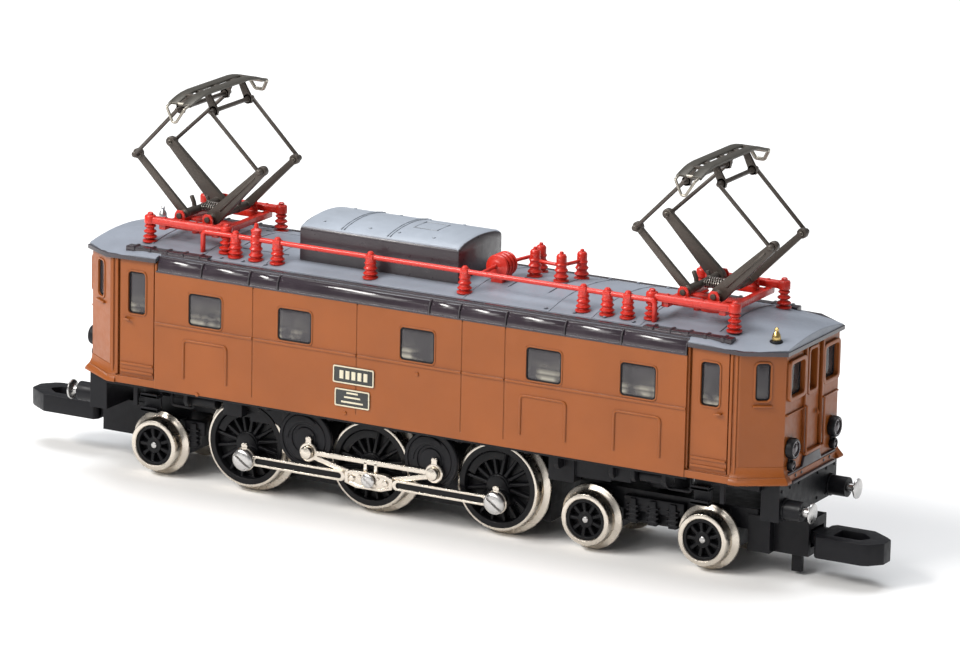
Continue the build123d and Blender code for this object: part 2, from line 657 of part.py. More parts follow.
def blind_shaft(x):
    """Jackshaft: plastic shaft with a crank disc and pin at each end."""
    shaft = rod_y(x, BLIND_Z, -DISC_Y[0], DISC_Y[0], AXLE_R)
    for side in (-1, 1):
        dx, dz = crank_offset(side)
        shaft += rod_y(x, BLIND_Z, side * DISC_Y[0], side * DISC_Y[1], 2.3)
        shaft += rod_y(x + dx, BLIND_Z + dz, side * DISC_Y[0], side * 5.7, PIN_R)
        shaft += rod_y(x + dx, BLIND_Z + dz, side * 5.68, side * 5.95, 0.6)
    return shaft


def rod_bar(a, b, half, y0, y1):
    """Straight bar with parallel edges between two pins in the XZ plane."""
    dx, dz = b[0] - a[0], b[1] - a[1]
    length = math.hypot(dx, dz)
    nx, nz = -dz / length * half, dx / length * half
    corners = [(a[0] + nx, a[1] + nz), (b[0] + nx, b[1] + nz),
               (b[0] - nx, b[1] - nz), (a[0] - nx, a[1] - nz)]
    return side_plate(corners, y0, y1)


def rod_pins(side):
    """Crank pin positions of one side, from the first driver to the last."""
    dx, dz = crank_offset(side)
    centres = [(DRIVER_X[0], DRIVER_Z), (BLIND_X[0], BLIND_Z), (DRIVER_X[1], DRIVER_Z),
               (BLIND_X[1], BLIND_Z), (DRIVER_X[2], DRIVER_Z)]
    return [(x + dx, z + dz) for x, z in centres]


def side_rods(side):
    """The two outer fluted rods of one side, from the outer drivers to the centre block."""
    pins = rod_pins(side)
    y0, y1 = side * ROD_Y[0], side * ROD_Y[1]
    rods = None
    for pin, inward in ((pins[0], 1), (pins[4], -1)):
        joint = (pins[2][0] - inward * BLOCK_HALF, pin[1])
        bar = rod_bar(pin, joint, 0.42, y0, y1) + rod_y(pin[0], pin[1], y0, y1, 0.8)
        flute = [(pin[0] + (joint[0] - pin[0]) * t, pin[1]) for t in (0.14, 0.96)]
        bar -= rod_bar(flute[0], flute[1], 0.2, side * (ROD_Y[1] - 0.12), side * (ROD_Y[1] + 1))
        bar += block(pin[0] - 0.25, pin[0] + 0.25, y0, y1, pin[1] + 0.6, pin[1] + 1.25)
        bar -= rod_y(pin[0], pin[1], -9, 9, PIN_R + RUNNING)
        rods = bar if rods is None else rods + bar
    return rods


def centre_link(side):
    """Triangular frame from the two jackshaft pins down to the block on the middle driver's pin."""
    left, mid, right = rod_pins(side)[1:4]
    y0, y1 = side * LINK_Y[0], side * LINK_Y[1]
    front = side * ROD_Y[1]
    link = rod_bar(left, right, 0.2, y0, y1)
    low, high = mid[1] - 0.75, mid[1] + 0.65
    half = BLOCK_HALF
    link += side_plate([(mid[0] - half, mid[1] + 0.45), (mid[0] - half, mid[1] - 0.45), (mid[0] - 1.1, low),
                        (mid[0] + 1.1, low), (mid[0] + half, mid[1] - 0.45), (mid[0] + half, mid[1] + 0.45),
                        (mid[0] + 1.4, high), (mid[0] - 1.4, high)], y0, front)
    for pin, inward in ((left, 1), (right, -1)):
        link += rod_bar(pin, (mid[0] - inward * 1.7, mid[1] + 0.2), 0.2, y0, y1)
        link += rod_y(pin[0], pin[1], y0, y1, 0.75)
        link += block(pin[0] - 0.25, pin[0] + 0.25, y0, y1, pin[1] + 0.6, pin[1] + 1.2)
    for dx in (-0.45, 0.45):
        link += block(mid[0] + dx - 0.15, mid[0] + dx + 0.15, y0, y1, high - 0.1, left[1])
    for pin in (left, mid, right):
        link -= rod_y(pin[0], pin[1], -9, 9, PIN_R + RUNNING)
    return link


def carrying_wheels(x):
    """Metal wheels with broad rims, flanges and webs, fixed on their axle."""
    pair = rod_y(x, CARRY_Z, -WHEEL_FACE + 0.02, WHEEL_FACE - 0.02, CARRY_AXLE_R)
    for side in (-1, 1):
        pair += tyre(x, CARRY_Z, side, CARRY_R, CARRY_BORE)
        pair += rod_y(x, CARRY_Z, side * WHEEL_BACK, side * (WHEEL_BACK + 0.5), 1.5)
    return pair


def carrying_inserts(x):
    """Black spoked faces set in the rims."""
    pair = None
    for side in (-1, 1):
        disc = rod_y(x, CARRY_Z, side * (WHEEL_BACK + 0.5), side * (WHEEL_FACE - 0.12), CARRY_BORE)
        for i in range(CARRY_SPOKES):
            slot = Pos(0.98, 0, 0) * Box(0.55, 9, 0.36)
            gap = Pos(x, 0, CARRY_Z) * Rot(0, 360.0 * i / CARRY_SPOKES, 0) * slot
            disc -= gap & block(x - 3, x + 3, side * 3.85, side * 5, 0, 6)
        disc -= rod_y(x, CARRY_Z, -9, 9, CARRY_AXLE_R)
        pair = disc if pair is None else pair + disc
    return pair


def coupler_pocket():
    """Slotted box that holds a coupler, at the +X end."""
    box = block(26.6, 30.6, -1.5, 1.5, 1.7, 4.4)
    box -= block(27.6, 31, -1.1, 1.1, 2.3, 3.7)
    box += rod_z(COUPLER_PIVOT, 0, 1.8, 4.2, 0.4)
    return box


def bogie_frame():
    """Keel with two pairs of axle boxes, the coupler pocket and its hanging leg."""
    beam = block(11.9, 26.7, -2.2, 2.2, 3.3, 4.9)
    for x in BOGIE_AXLES:
        beam += block(x - 1.3, x + 1.3, -TRUCK_Y, TRUCK_Y, 1.3, 4.6)
        beam -= rod_y(x, CARRY_Z, -5, 5, CARRY_AXLE_R + RUNNING)
    beam += block(26.0, 27.8, -2.3, 2.3, 1.7, 4.5)
    beam -= rod_z(BOGIE_PIVOT, 0, 1, 6, 0.85 + RUNNING)
    beam += block(15.6, 21.1, -2.2, 2.2, 2.4, 3.4)
    beam -= rod_z(BOGIE_PIVOT, 0, 1, 6, 0.85 + RUNNING)
    beam -= block(27.6, 28, -1.1, 1.1, 2.3, 3.7)
    beam += block(29.0, 29.8, -0.9, -0.5, 0.25, 1.8)
    return beam + coupler_pocket()


def pony_frame():
    """Arm from the pivot over the single axle to the coupler pocket."""
    arm = block(-26.2, -18.6, -1.4, 1.4, 4.95, 5.75)
    arm += block(PONY_X - 1.3, PONY_X + 1.3, -TRUCK_Y, TRUCK_Y, 1.3, 4.4)
    arm += block(-27.6, -22.6, -1.4, 1.4, 3.9, 5.3)
    arm -= rod_y(PONY_X, CARRY_Z, -5, 5, CARRY_AXLE_R + RUNNING)
    arm -= rod_z(PONY_PIVOT, 0, 4, 7, 0.7 + RUNNING)
    pocket = Pos(0, 0, LEFT_LIFT) * turned(coupler_pocket(), 180)
    return arm + block(-27.6, -26.2, -1.5, 1.5, 1.7, 4.95) + pocket


def coupler(low, high, tip):
    """Hook coupler at the +X end: shank and hooked head between two heights."""
    head = plan([(31.5, -2.2), (tip - 1.3, -2.2), (tip, -1.0), (tip, 0.2), (tip - 2.0, 1.6),
                 (31.5, 1.6)], low, high)
    head -= plan([(32.5, -1.2), (tip - 2.0, -1.2), (tip - 1.5, -0.4), (tip - 2.5, 0.6), (32.5, 0.6)], 1, 5)
    head += block(30.9, 31.6, -0.9, 0.9, 2.2, 3.3)
    shank = block(28.8, 31.6, -0.8, 0.8, 2.45, 3.55)
    shank -= rod_z(COUPLER_PIVOT, 0, 2, 4, 0.4 + RUNNING)
    return head + shank


def panto_base(cx):
    """Red base: two long bars on four insulators, cross bars and bearing lugs."""
    foot = roof_height(BASE_Y) - 0.3
    base = None
    for side in (-1, 1):
        y = side * BASE_Y
        low, end = RAIL_TOP - 0.55, BASE_DX + 0.3
        bar = block(cx - end, cx + end, y - BASE_BAR, y + BASE_BAR, low, RAIL_TOP)
        for dx in (-BASE_DX, BASE_DX):
            bar += insulator(cx + dx, y, foot, 20.3 - foot)
            bar += rod_z(cx + dx, y, low, RAIL_TOP + 0.3, 0.28)
        base = bar if base is None else base + bar
    for dx in (-PIVOT_DX - 1.1, PIVOT_DX + 1.1):
        base += block(cx + dx - 0.3, cx + dx + 0.3, -BASE_Y, BASE_Y, CROSS_Z[0], CROSS_Z[1])
    for dx in (-PIVOT_DX, PIVOT_DX):
        for side in (-1, 1):
            y = side * (ARM_Y + 0.75)
            lug = block(cx + dx - 0.45, cx + dx + 0.45, y - 0.18, y + 0.18, CROSS_Z[0], PIVOT_Z + 0.45)
            half = PIVOT_DX + 1.2
            base += lug + block(cx - half, cx + half, y - 0.18, y + 0.18, CROSS_Z[0], CROSS_Z[1])
    for dx in (-PIVOT_DX, PIVOT_DX):
        base -= rod_y(cx + dx, PIVOT_Z, -3.7, 3.7, PIVOT_R + RUNNING)
    base += block(cx - 1.6, cx + 1.6, -2.2, 2.2, 18.5, CROSS_Z[0] + 0.05)
    base += block(cx - 2.5, cx + 2.5, -0.5, 0.5, CROSS_Z[0], 20.0)
    return base - roof_block()


def lower_frame(cx, end):
    """Lower arm pair with its pivot tube. One arm is broad, the other narrow."""
    px, kx = cx + end * PIVOT_DX, cx + end * KNEE_DX
    frame = rod_y(px, PIVOT_Z, -ARM_Y - 0.2, ARM_Y + 0.2, 0.38)
    frame += rod_y(px, PIVOT_Z, -ARM_Y - 1.1, ARM_Y + 1.1, PIVOT_R)
    dx, dz = kx - px, KNEE_Z - PIVOT_Z
    length = math.hypot(dx, dz)
    ux, uz = dx / length, dz / length
    for side in (-1, 1):
        broad = side * end < 0
        foot = 0.62 if broad else 0.36
        tip = 0.34 if broad else 0.24
        nx, nz = -uz, ux
        outline = [(px + nx * foot, PIVOT_Z + nz * foot), (kx + nx * tip, KNEE_Z + nz * tip),
                   (kx - nx * tip, KNEE_Z - nz * tip), (px - nx * foot, PIVOT_Z - nz * foot)]
        y0 = side * (ARM_Y - (0.35 if broad else 0.2))
        frame += side_plate(outline, y0, side * (ARM_Y + 0.2))
        frame += rod_y(kx, KNEE_Z, y0, side * (ARM_Y + 0.2), 0.36)
    frame -= rod_y(kx, KNEE_Z, -9, 9, KNEE_PIN_R + RUNNING)
    finger = strut((px, -1.1, PIVOT_Z), (px - end * 0.1 + 0.35 * end, -1.1, PIVOT_Z + 1.05), 0.16)
    return frame + finger


def upper_frame(cx, end):
    """Wire frame from the knee pins to the head axle, outside the lower arms."""
    kx, tx = cx + end * KNEE_DX, cx + end * PIVOT_DX
    top_y = TOP_Y[end]
    outer = KNEE_Y
    frame = rod_y(tx, HEAD_Z, -top_y - 0.12, top_y + 0.12, WIRE_R + 0.03)
    for side in (-1, 1):
        frame += rod_y(kx, KNEE_Z, side * (ARM_Y - 0.6), side * outer, KNEE_PIN_R)
        frame += rod_y(kx, KNEE_Z, side * (outer - 0.2), side * (outer + 0.2), 0.24)
        frame += strut((kx, side * outer, KNEE_Z), (tx, side * top_y, HEAD_Z), WIRE_R)
    return frame


def head_strip(cx, dx):
    """One contact strip, bowed at both ends and bent down into a horn."""
    width = STRIP_W
    top = STRIP_Z
    section = [(-5.6, top - 0.55), (-4.6, top - 0.08), (-3.2, top), (3.2, top), (4.6, top - 0.08),
               (5.6, top - 0.55), (5.6, top - 0.8), (4.5, top - 0.35), (3.1, top - 0.28), (-3.1, top - 0.28),
               (-4.5, top - 0.35), (-5.6, top - 0.8)]
    plane = Plane(origin=(cx + dx - width, 0, 0), x_dir=(0, 1, 0), z_dir=(1, 0, 0))
    return extrude(plane * Polygon(*section, align=None), 2 * width, dir=(1, 0, 0))


def panto_head(cx):
    """Collector head: two strips, end horns and the two brackets that hold the head axles."""
    top = STRIP_Z
    head = head_strip(cx, -STRIP_DX) + head_strip(cx, STRIP_DX)
    for y in (-4.0, 0.0, 4.0):
        head += block(cx - 0.5, cx + 0.5, y - 0.35, y + 0.35, top - 0.4, top - 0.1)
    for side in (-1, 1):
        a, b = (cx - 0.75, side * 5.5, top - 0.68), (cx - 0.35, side * 6.35, HEAD_Z - 0.15)
        c, d = (cx + 0.75, side * 5.5, top - 0.68), (cx + 0.35, side * 6.35, HEAD_Z - 0.15)
        head += strut(a, b, 0.13) + strut(c, d, 0.13) + strut(b, d, 0.13)
        head += Pos(*b) * Sphere(0.13) + Pos(*d) * Sphere(0.13)
        head += block(cx - 0.9, cx + 0.9, side * 5.35, side * 5.6, top - 0.8, top - 0.55)
    for end in (-1, 1):
        tx = cx + end * PIVOT_DX
        for side in (-1, 1):
            y = side * (TOP_Y[end] - 0.55)
            web = side_plate([(tx - 0.35, HEAD_Z - 0.35), (tx + 0.35, HEAD_Z - 0.35),
                              (cx + end * 0.6 + 0.3, top - 0.15), (cx + end * 0.6 - 0.3, top - 0.15)],
                             y - 0.13, y + 0.13)
            head += web + rod_y(tx, HEAD_Z, y - 0.13, y + 0.13, 0.4)
    for end in (-1, 1):
        head -= rod_y(cx + end * PIVOT_DX, HEAD_Z, -5.2, 5.2, WIRE_R + 0.08)
    return head


def panto_springs(cx):
    """Two raising springs lying between the pivot tubes, drawn as closed coils."""
    springs = None
    for side in (-1, 1):
        y = side * 0.42
        coil = None
        for i in range(8):
            x = cx - 0.665 + i * 0.19
            turn = Pos(x, y, PIVOT_Z + 0.05) * Rot(0, 90, 0) * Torus(0.26, 0.075)
            coil = turn if coil is None else coil + turn
        coil += rod_x(y, PIVOT_Z + 0.05, cx - 0.7, cx + 0.7, 0.2)
        springs = coil if springs is None else springs + coil
    springs += block(cx - 0.15, cx + 0.15, -0.4, 0.4, 20.0, PIVOT_Z)
    return springs


def build():
    parts = {
        "body_shell": body_shell(), "window_glazing": window_glazing(), "roof": roof(),
        "roof_hood": roof_hood(), "cove_panels": cove_panels(), "roof_busbar": roof_busbar(),
        "whistles": whistles(), "headlamps": headlamps(), "number_plates": number_plates(),
        "buffer_beams": buffer_beams(), "buffers": buffers(),
        "chassis_frame": chassis_frame(), "keeper_plate": keeper_plate(), "keeper_screws": keeper_screws(),
        "motor_stator": motor_stator(), "brush_plate": brush_plate(), "circuit_board": circuit_board(),
        "armature": armature(), "worm_shaft": worm_shaft(), "idler_gear": idler_gear(),
        "driver_2_gear": driver_gear(),
        "pony_frame": pony_frame(), "bogie_frame": bogie_frame(),
        "coupler_right": coupler(*COUPLER_HEAD),
        "coupler_left": Pos(0, 0, LEFT_LIFT) * turned(coupler(*LEFT_HEAD), 180),
    }
    for i, x in enumerate(DRIVER_X, 1):
        parts[f"driver_{i}_axle"] = driver_axle(x)
        parts[f"driver_{i}_centres"] = driver_centres(x)
        parts[f"driver_{i}_tyres"] = driver_tyres(x)
    for i, x in enumerate(BLIND_X, 1):
        parts[f"jackshaft_{i}"] = blind_shaft(x)
    for name, side in (("near", -1), ("far", 1)):
        parts[f"side_rods_{name}"] = side_rods(side)
        parts[f"centre_link_{name}"] = centre_link(side)
    for name, x in (("pony", PONY_X), ("bogie_1", BOGIE_AXLES[0]), ("bogie_2", BOGIE_AXLES[1])):
        parts[f"{name}_wheels"] = carrying_wheels(x)
        parts[f"{name}_wheel_faces"] = carrying_inserts(x)
    for name, cx in (("left", PANTO_X[0]), ("right", PANTO_X[1])):
        parts[f"panto_{name}_base"] = panto_base(cx)
        parts[f"panto_{name}_lower_a"] = lower_frame(cx, -1)
        parts[f"panto_{name}_lower_b"] = lower_frame(cx, 1)
        parts[f"panto_{name}_upper_a"] = upper_frame(cx, -1)
        parts[f"panto_{name}_upper_b"] = upper_frame(cx, 1)
        parts[f"panto_{name}_head"] = panto_head(cx)
        parts[f"panto_{name}_springs"] = panto_springs(cx)
    return parts


os.makedirs("parts", exist_ok=True)
for node, shape in build().items():
    export_step(shape, f"parts/{node}.step")
    print(node, len(shape.solids()), round(shape.volume, 2), shape.is_valid)
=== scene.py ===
import math

import bmesh
import bpy
from mathutils import Matrix, Vector


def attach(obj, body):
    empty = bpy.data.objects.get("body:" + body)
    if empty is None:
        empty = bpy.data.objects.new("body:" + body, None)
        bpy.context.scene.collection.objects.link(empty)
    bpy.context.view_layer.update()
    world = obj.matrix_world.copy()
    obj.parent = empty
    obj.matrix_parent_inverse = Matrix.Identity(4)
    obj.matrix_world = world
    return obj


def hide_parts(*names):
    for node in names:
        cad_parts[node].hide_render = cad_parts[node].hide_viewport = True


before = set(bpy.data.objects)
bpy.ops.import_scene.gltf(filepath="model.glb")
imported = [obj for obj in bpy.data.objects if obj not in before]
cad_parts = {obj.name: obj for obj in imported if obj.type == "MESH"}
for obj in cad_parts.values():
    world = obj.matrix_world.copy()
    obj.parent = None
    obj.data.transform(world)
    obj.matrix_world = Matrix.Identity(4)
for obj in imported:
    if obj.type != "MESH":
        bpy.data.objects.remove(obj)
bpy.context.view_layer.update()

# Model electric locomotive. Lengths are in millimetres until a piece is finished, and metres after that.
MM = 0.001
SIDES = (-1, 1)
BODY_HALF = 22.7
PONY_X = -24.25
BOGIE_X = (13.47, 23.24)
QUARTER = Matrix.Rotation(math.radians(90), 4, "Z")


# ---------------------------------------------------------------- shapes

AXES = {
    "x": lambda u, v, level: Vector((level, u, v)),
    "y": lambda u, v, level: Vector((u, level, v)),
    "z": lambda u, v, level: Vector((u, v, level)),
}


class Shape:
    """A mesh being put together from parts."""

    def __init__(self):
        self.bm = bmesh.new()

    def add(self, part, matrix=None):
        if matrix is not None:
            bmesh.ops.transform(part, matrix=matrix, verts=part.verts)
            if matrix.determinant() < 0:
                bmesh.ops.reverse_faces(part, faces=part.faces)
        mesh = bpy.data.meshes.new("part")
        part.to_mesh(mesh)
        part.free()
        self.bm.from_mesh(mesh)
        bpy.data.meshes.remove(mesh)
        return self


def soften(part, width):
    """Rounds every sharp edge of a closed part."""
    sharp = [e for e in part.edges if len(e.link_faces) == 2 and e.calc_face_angle(0.0) > 0.5]
    if sharp:
        bmesh.ops.bevel(part, geom=sharp, offset=width, segments=2, profile=0.6,
                        affect="EDGES", clamp_overlap=True)


def bridge(part, ring_a, ring_b):
    """Faces between two rings with the same number of points."""
    count = len(ring_a)
    for i in range(count):
        j = (i + 1) % count
        part.faces.new((ring_a[i], ring_a[j], ring_b[j], ring_b[i]))


def prism(outline, low, high, axis="z", bevel=0.0):
    """Solid with this outline across the axis, from low to high along it."""
    part = bmesh.new()
    rings = [[part.verts.new(AXES[axis](u, v, level)) for u, v in outline] for level in (low, high)]
    part.faces.new(rings[0])
    part.faces.new(rings[1])
    bridge(part, rings[0], rings[1])
    bmesh.ops.recalc_face_normals(part, faces=part.faces)
    if bevel:
        soften(part, bevel)
    return part


def box(x0, x1, y0, y1, z0, z1, bevel=0.05):
    """Block with its edges along the axes."""
    return prism([(x0, y0), (x1, y0), (x1, y1), (x0, y1)], z0, z1, "z", bevel)


def slab(outline, side, y0, y1, bevel=0.04):
    """Plate seen from the side, between two distances out from the middle."""
    return prism(outline, *sorted((side * y0, side * y1)), "y", bevel)


def ring_plate(outer, inner, low, high, axis="y", bevel=0.04):
    """Flat frame between two outlines that have the same number of points."""
    part = bmesh.new()
    loops = []
    for outline in (outer, inner):
        for level in (low, high):
            loops.append([part.verts.new(AXES[axis](u, v, level)) for u, v in outline])
    bridge(part, loops[0], loops[1])
    bridge(part, loops[2], loops[3])
    bridge(part, loops[0], loops[2])
    bridge(part, loops[1], loops[3])
    bmesh.ops.recalc_face_normals(part, faces=part.faces)
    if bevel:
        soften(part, bevel)
    return part


def loft(sections):
    """Closed solid through rings of points that all have the same count."""
    part = bmesh.new()
    rings = [[part.verts.new(Vector(p)) for p in section] for section in sections]
    for ring_a, ring_b in zip(rings, rings[1:]):
        bridge(part, ring_a, ring_b)
    part.faces.new(rings[0])
    part.faces.new(rings[-1])
    bmesh.ops.recalc_face_normals(part, faces=part.faces)
    return part


def lathe(profile, centre, axis="y", side=1, steps=40, hollow=False):
    """Turned part. The profile lists (radius, distance along the axis from the centre)."""
    part = bmesh.new()
    cu, cv, cl = {"x": (1, 2, 0), "y": (0, 2, 1), "z": (0, 1, 2)}[axis]
    rings = []
    for radius, level in profile:
        along = centre[cl] + side * level
        if radius < 1e-6:
            rings.append([part.verts.new(AXES[axis](centre[cu], centre[cv], along))])
            continue
        ring = []
        for i in range(steps):
            angle = 2 * math.pi * i / steps
            u = centre[cu] + radius * math.cos(angle)
            v = centre[cv] + radius * math.sin(angle)
            ring.append(part.verts.new(AXES[axis](u, v, along)))
        rings.append(ring)
    pairs = list(zip(rings, rings[1:]))
    if hollow:
        pairs.append((rings[-1], rings[0]))
    for ring_a, ring_b in pairs:
        if len(ring_a) == 1 and len(ring_b) == 1:
            continue
        if len(ring_a) == 1 or len(ring_b) == 1:
            pole, ring = (ring_a[0], ring_b) if len(ring_a) == 1 else (ring_b[0], ring_a)
            for i in range(steps):
                part.faces.new((pole, ring[i], ring[(i + 1) % steps]))
        else:
            bridge(part, ring_a, ring_b)
    if not hollow:
        for ring in (rings[0], rings[-1]):
            if len(ring) > 1:
                part.faces.new(ring)
    bmesh.ops.recalc_face_normals(part, faces=part.faces)
    return part


def rod(radius, low, high, centre, axis="y", side=1, steps=40):
    """Plain round bar from low to high along its axis."""
    return lathe([(0, low), (radius, low), (radius, high), (0, high)], centre, axis, side, steps)


def collar(inner, outer, low, high, centre, axis, side, steps):
    """Plain ring from low to high along its axis."""
    profile = [(inner, low), (outer, low), (outer, high), (inner, high)]
    return lathe(profile, centre, axis, side, steps, hollow=True)


def tube(points, radius, steps=12, closed=False):
    """Round wire through the points, with rounded ends unless it is a closed loop."""
    part = bmesh.new()
    points = [Vector(p) for p in points]
    count = len(points)
    rings = []
    normal = None
    for i, point in enumerate(points):
        before = points[i - 1] if i or closed else None
        after = points[(i + 1) % count] if i < count - 1 or closed else None
        into = (point - before).normalized() if before is not None else (after - point).normalized()
        out = (after - point).normalized() if after is not None else into
        tangent = (into + out).normalized()
        if normal is None:
            normal = tangent.orthogonal().normalized()
        normal = (normal - tangent * normal.dot(tangent)).normalized()
        other = tangent.cross(normal)
        ends = [(0.0, 1.0)]
        if not closed and i == 0:
            ends = [(-0.85, 0.45), (-0.5, 0.85), (0.0, 1.0)]
        if not closed and i == count - 1:
            ends = [(0.0, 1.0), (0.5, 0.85), (0.85, 0.45)]
        for shift, size in ends:
            centre = point + tangent * shift * radius * (0.5 if len(ends) > 1 else 1)
            ring = []
            for k in range(steps):
                angle = 2 * math.pi * k / steps
                arm = normal * math.cos(angle) + other * math.sin(angle)
                ring.append(part.verts.new(centre + arm * radius * size))
            rings.append(ring)
    for ring_a, ring_b in zip(rings, rings[1:]):
        bridge(part, ring_a, ring_b)
    if closed:
        bridge(part, rings[-1], rings[0])
    else:
        part.faces.new(rings[0])
        part.faces.new(rings[-1])
    bmesh.ops.recalc_face_normals(part, faces=part.faces)
    return part


def rounded_path(points, radius, steps=4):
    """The same run of points with each inner corner rounded off."""
    points = [Vector(p) for p in points]
    path = [points[0]]
    for before, corner, after in zip(points, points[1:], points[2:]):
        into = (before - corner)
        out = (after - corner)
        start = corner + into.normalized() * min(radius, into.length / 2)
        end = corner + out.normalized() * min(radius, out.length / 2)
        for k in range(steps + 1):
            t = k / steps
            path.append(start * (1 - t) ** 2 + corner * 2 * t * (1 - t) + end * t ** 2)
    path.append(points[-1])
    return path


def round_rect(u0, u1, v0, v1, radius, steps=5):
    """Outline of a rectangle with rounded corners."""
    outline = []
    corners = ((u1 - radius, v1 - radius, 0), (u0 + radius, v1 - radius, 90),
               (u0 + radius, v0 + radius, 180), (u1 - radius, v0 + radius, 270))
    for cu, cv, start in corners:
        for k in range(steps + 1):
            angle = math.radians(start + 90 * k / steps)
            outline.append((cu + radius * math.cos(angle), cv + radius * math.sin(angle)))
    return outline


def capsule(a, b, ra, rb, steps=10):
    """Outline of a bar with a round end at a and at b, in the plane across one axis."""
    ax, az = a
    bx, bz = b
    turn = math.atan2(bz - az, bx - ax)
    outline = []
    for k in range(steps + 1):
        angle = turn + math.pi / 2 + math.pi * k / steps
        outline.append((ax + ra * math.cos(angle), az + ra * math.sin(angle)))
    for k in range(steps + 1):
        angle = turn - math.pi / 2 + math.pi * k / steps
        outline.append((bx + rb * math.cos(angle), bz + rb * math.sin(angle)))
    return outline


def spin(centre, degrees, axis="Y"):
    """Turn about a line through the centre."""
    centre = Vector(centre)
    turn = Matrix.Rotation(math.radians(degrees), 4, axis)
    return Matrix.Translation(centre) @ turn @ Matrix.Translation(-centre)


def piece(name, shape, body, material, replaces=(), smooth=38):
    """Turns the shape into a finished object in metres that rides on a body."""
    mesh = bpy.data.meshes.new(name)
    bmesh.ops.transform(shape.bm, matrix=Matrix.Diagonal((MM, MM, MM, 1)), verts=shape.bm.verts)
    shape.bm.to_mesh(mesh)
    shape.bm.free()
    mesh.shade_smooth()
    mesh.set_sharp_from_angle(angle=math.radians(smooth))
    mesh.materials.append(material)
    obj = bpy.data.objects.new(name, mesh)
    bpy.context.scene.collection.objects.link(obj)
    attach(obj, body)
    if replaces:
        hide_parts(*replaces)
    return obj


# ---------------------------------------------------------------- materials

CLOUD_MM = 4.0


def surface(name, color, rough, metallic=0.0, vary=0.08, grain_mm=0.18, bump_mm=0.004,
            rough_spread=0.08, edge_wear_and_glint=0.0, edge_wear_and_glint_color=(0.8, 0.8, 0.8), edge_mm=0.05, coat=0.0, alpha=1.0,
            streak=None, hollow_shade=0.0, shine=0.5):
    """Procedural finish: cloudy tone, fine grain, edges lighter in patches as wear and painted highlight,
    softened corners, painted shade in the hollows.
    """
    mat = bpy.data.materials.new(name)
    mat.use_nodes = True
    tree = mat.node_tree
    nodes, links = tree.nodes, tree.links
    shader = nodes["Principled BSDF"]
    shader.inputs["Metallic"].default_value = metallic
    shader.inputs["Coat Weight"].default_value = coat
    shader.inputs["Coat Roughness"].default_value = 0.12
    shader.inputs["Specular IOR Level"].default_value = shine
    shader.inputs["Alpha"].default_value = alpha
    coords = nodes.new("ShaderNodeTexCoord")

    def noise(size_mm, detail=3.0, stretch=None):
        node = nodes.new("ShaderNodeTexNoise")
        node.inputs["Scale"].default_value = 1.0 / (size_mm * MM)
        node.inputs["Detail"].default_value = detail
        source = coords.outputs["Object"]
        if stretch:
            mapping = nodes.new("ShaderNodeMapping")
            mapping.inputs["Scale"].default_value = stretch
            links.new(source, mapping.inputs["Vector"])
            source = mapping.outputs["Vector"]
        links.new(source, node.inputs["Vector"])
        return node.outputs["Fac"]

    def mapped(value, low, high, out_low, out_high):
        node = nodes.new("ShaderNodeMapRange")
        node.inputs["From Min"].default_value = low
        node.inputs["From Max"].default_value = high
        node.inputs["To Min"].default_value = out_low
        node.inputs["To Max"].default_value = out_high
        links.new(value, node.inputs["Value"])
        return node.outputs["Result"]

    def mixed(factor, first, second):
        node = nodes.new("ShaderNodeMix")
        node.data_type = "RGBA"
        links.new(factor, node.inputs["Factor"])
        for key, value in (("A", first), ("B", second)):
            socket = [s for s in node.inputs if s.name == key and s.type == "RGBA"][0]
            if isinstance(value, tuple):
                socket.default_value = (*value, 1.0)
            else:
                links.new(value, socket)
        return [s for s in node.outputs if s.type == "RGBA"][0]

    darker = tuple(c * (1 - vary) for c in color)
    lighter = tuple(min(1.0, c * (1 + vary)) for c in color)
    tone = mixed(mapped(noise(CLOUD_MM), 0.3, 0.7, 0.0, 1.0), darker, lighter)
    speck = tuple(c * (1 - 1.6 * vary) for c in color)
    tone = mixed(mapped(noise(grain_mm * 2.5, 2.0), 0.62, 0.8, 0.0, 0.5), tone, speck)
    rounding = nodes.new("ShaderNodeBevel")
    rounding.samples = 4
    rounding.inputs["Radius"].default_value = edge_mm * MM
    # Edges lighter in patches: partly edge wear, partly a painted highlight where gloss catches the light.
    if edge_wear_and_glint > 0:
        geometry = nodes.new("ShaderNodeNewGeometry")
        dot = nodes.new("ShaderNodeVectorMath")
        dot.operation = "DOT_PRODUCT"
        links.new(rounding.outputs["Normal"], dot.inputs[0])
        links.new(geometry.outputs["Normal"], dot.inputs[1])
        edge = mapped(dot.outputs["Value"], 0.99, 0.88, 0.0, edge_wear_and_glint)
        patch = nodes.new("ShaderNodeMath")
        patch.operation = "MULTIPLY"
        links.new(edge, patch.inputs[0])
        links.new(mapped(noise(grain_mm * 4), 0.35, 0.62, 0.0, 1.0), patch.inputs[1])
        tone = mixed(patch.outputs["Value"], tone, edge_wear_and_glint_color)
    # Painted shade: the colour darkens where the occlusion mask finds hollows, corners and gaps between
    # parts.
    if hollow_shade > 0:
        hollow = nodes.new("ShaderNodeAmbientOcclusion")
        hollow.samples = 4
        hollow.inputs["Distance"].default_value = 0.5 * MM
        tone = mixed(mapped(hollow.outputs["AO"], 0.45, 0.9, hollow_shade, 0.0), tone, tuple(c * 0.25 for c in color))
    links.new(tone, shader.inputs["Base Color"])
    gloss = noise(grain_mm * 3, 2.0, streak)
    links.new(mapped(gloss, 0.3, 0.7, max(0.03, rough - rough_spread), rough + rough_spread),
              shader.inputs["Roughness"])
    bump = nodes.new("ShaderNodeBump")
    bump.inputs["Distance"].default_value = bump_mm * MM
    bump.inputs["Strength"].default_value = 1.0
    links.new(noise(grain_mm, 2.0, streak), bump.inputs["Height"])
    links.new(rounding.outputs["Normal"], bump.inputs["Normal"])
    links.new(bump.outputs["Normal"], shader.inputs["Normal"])
    return mat


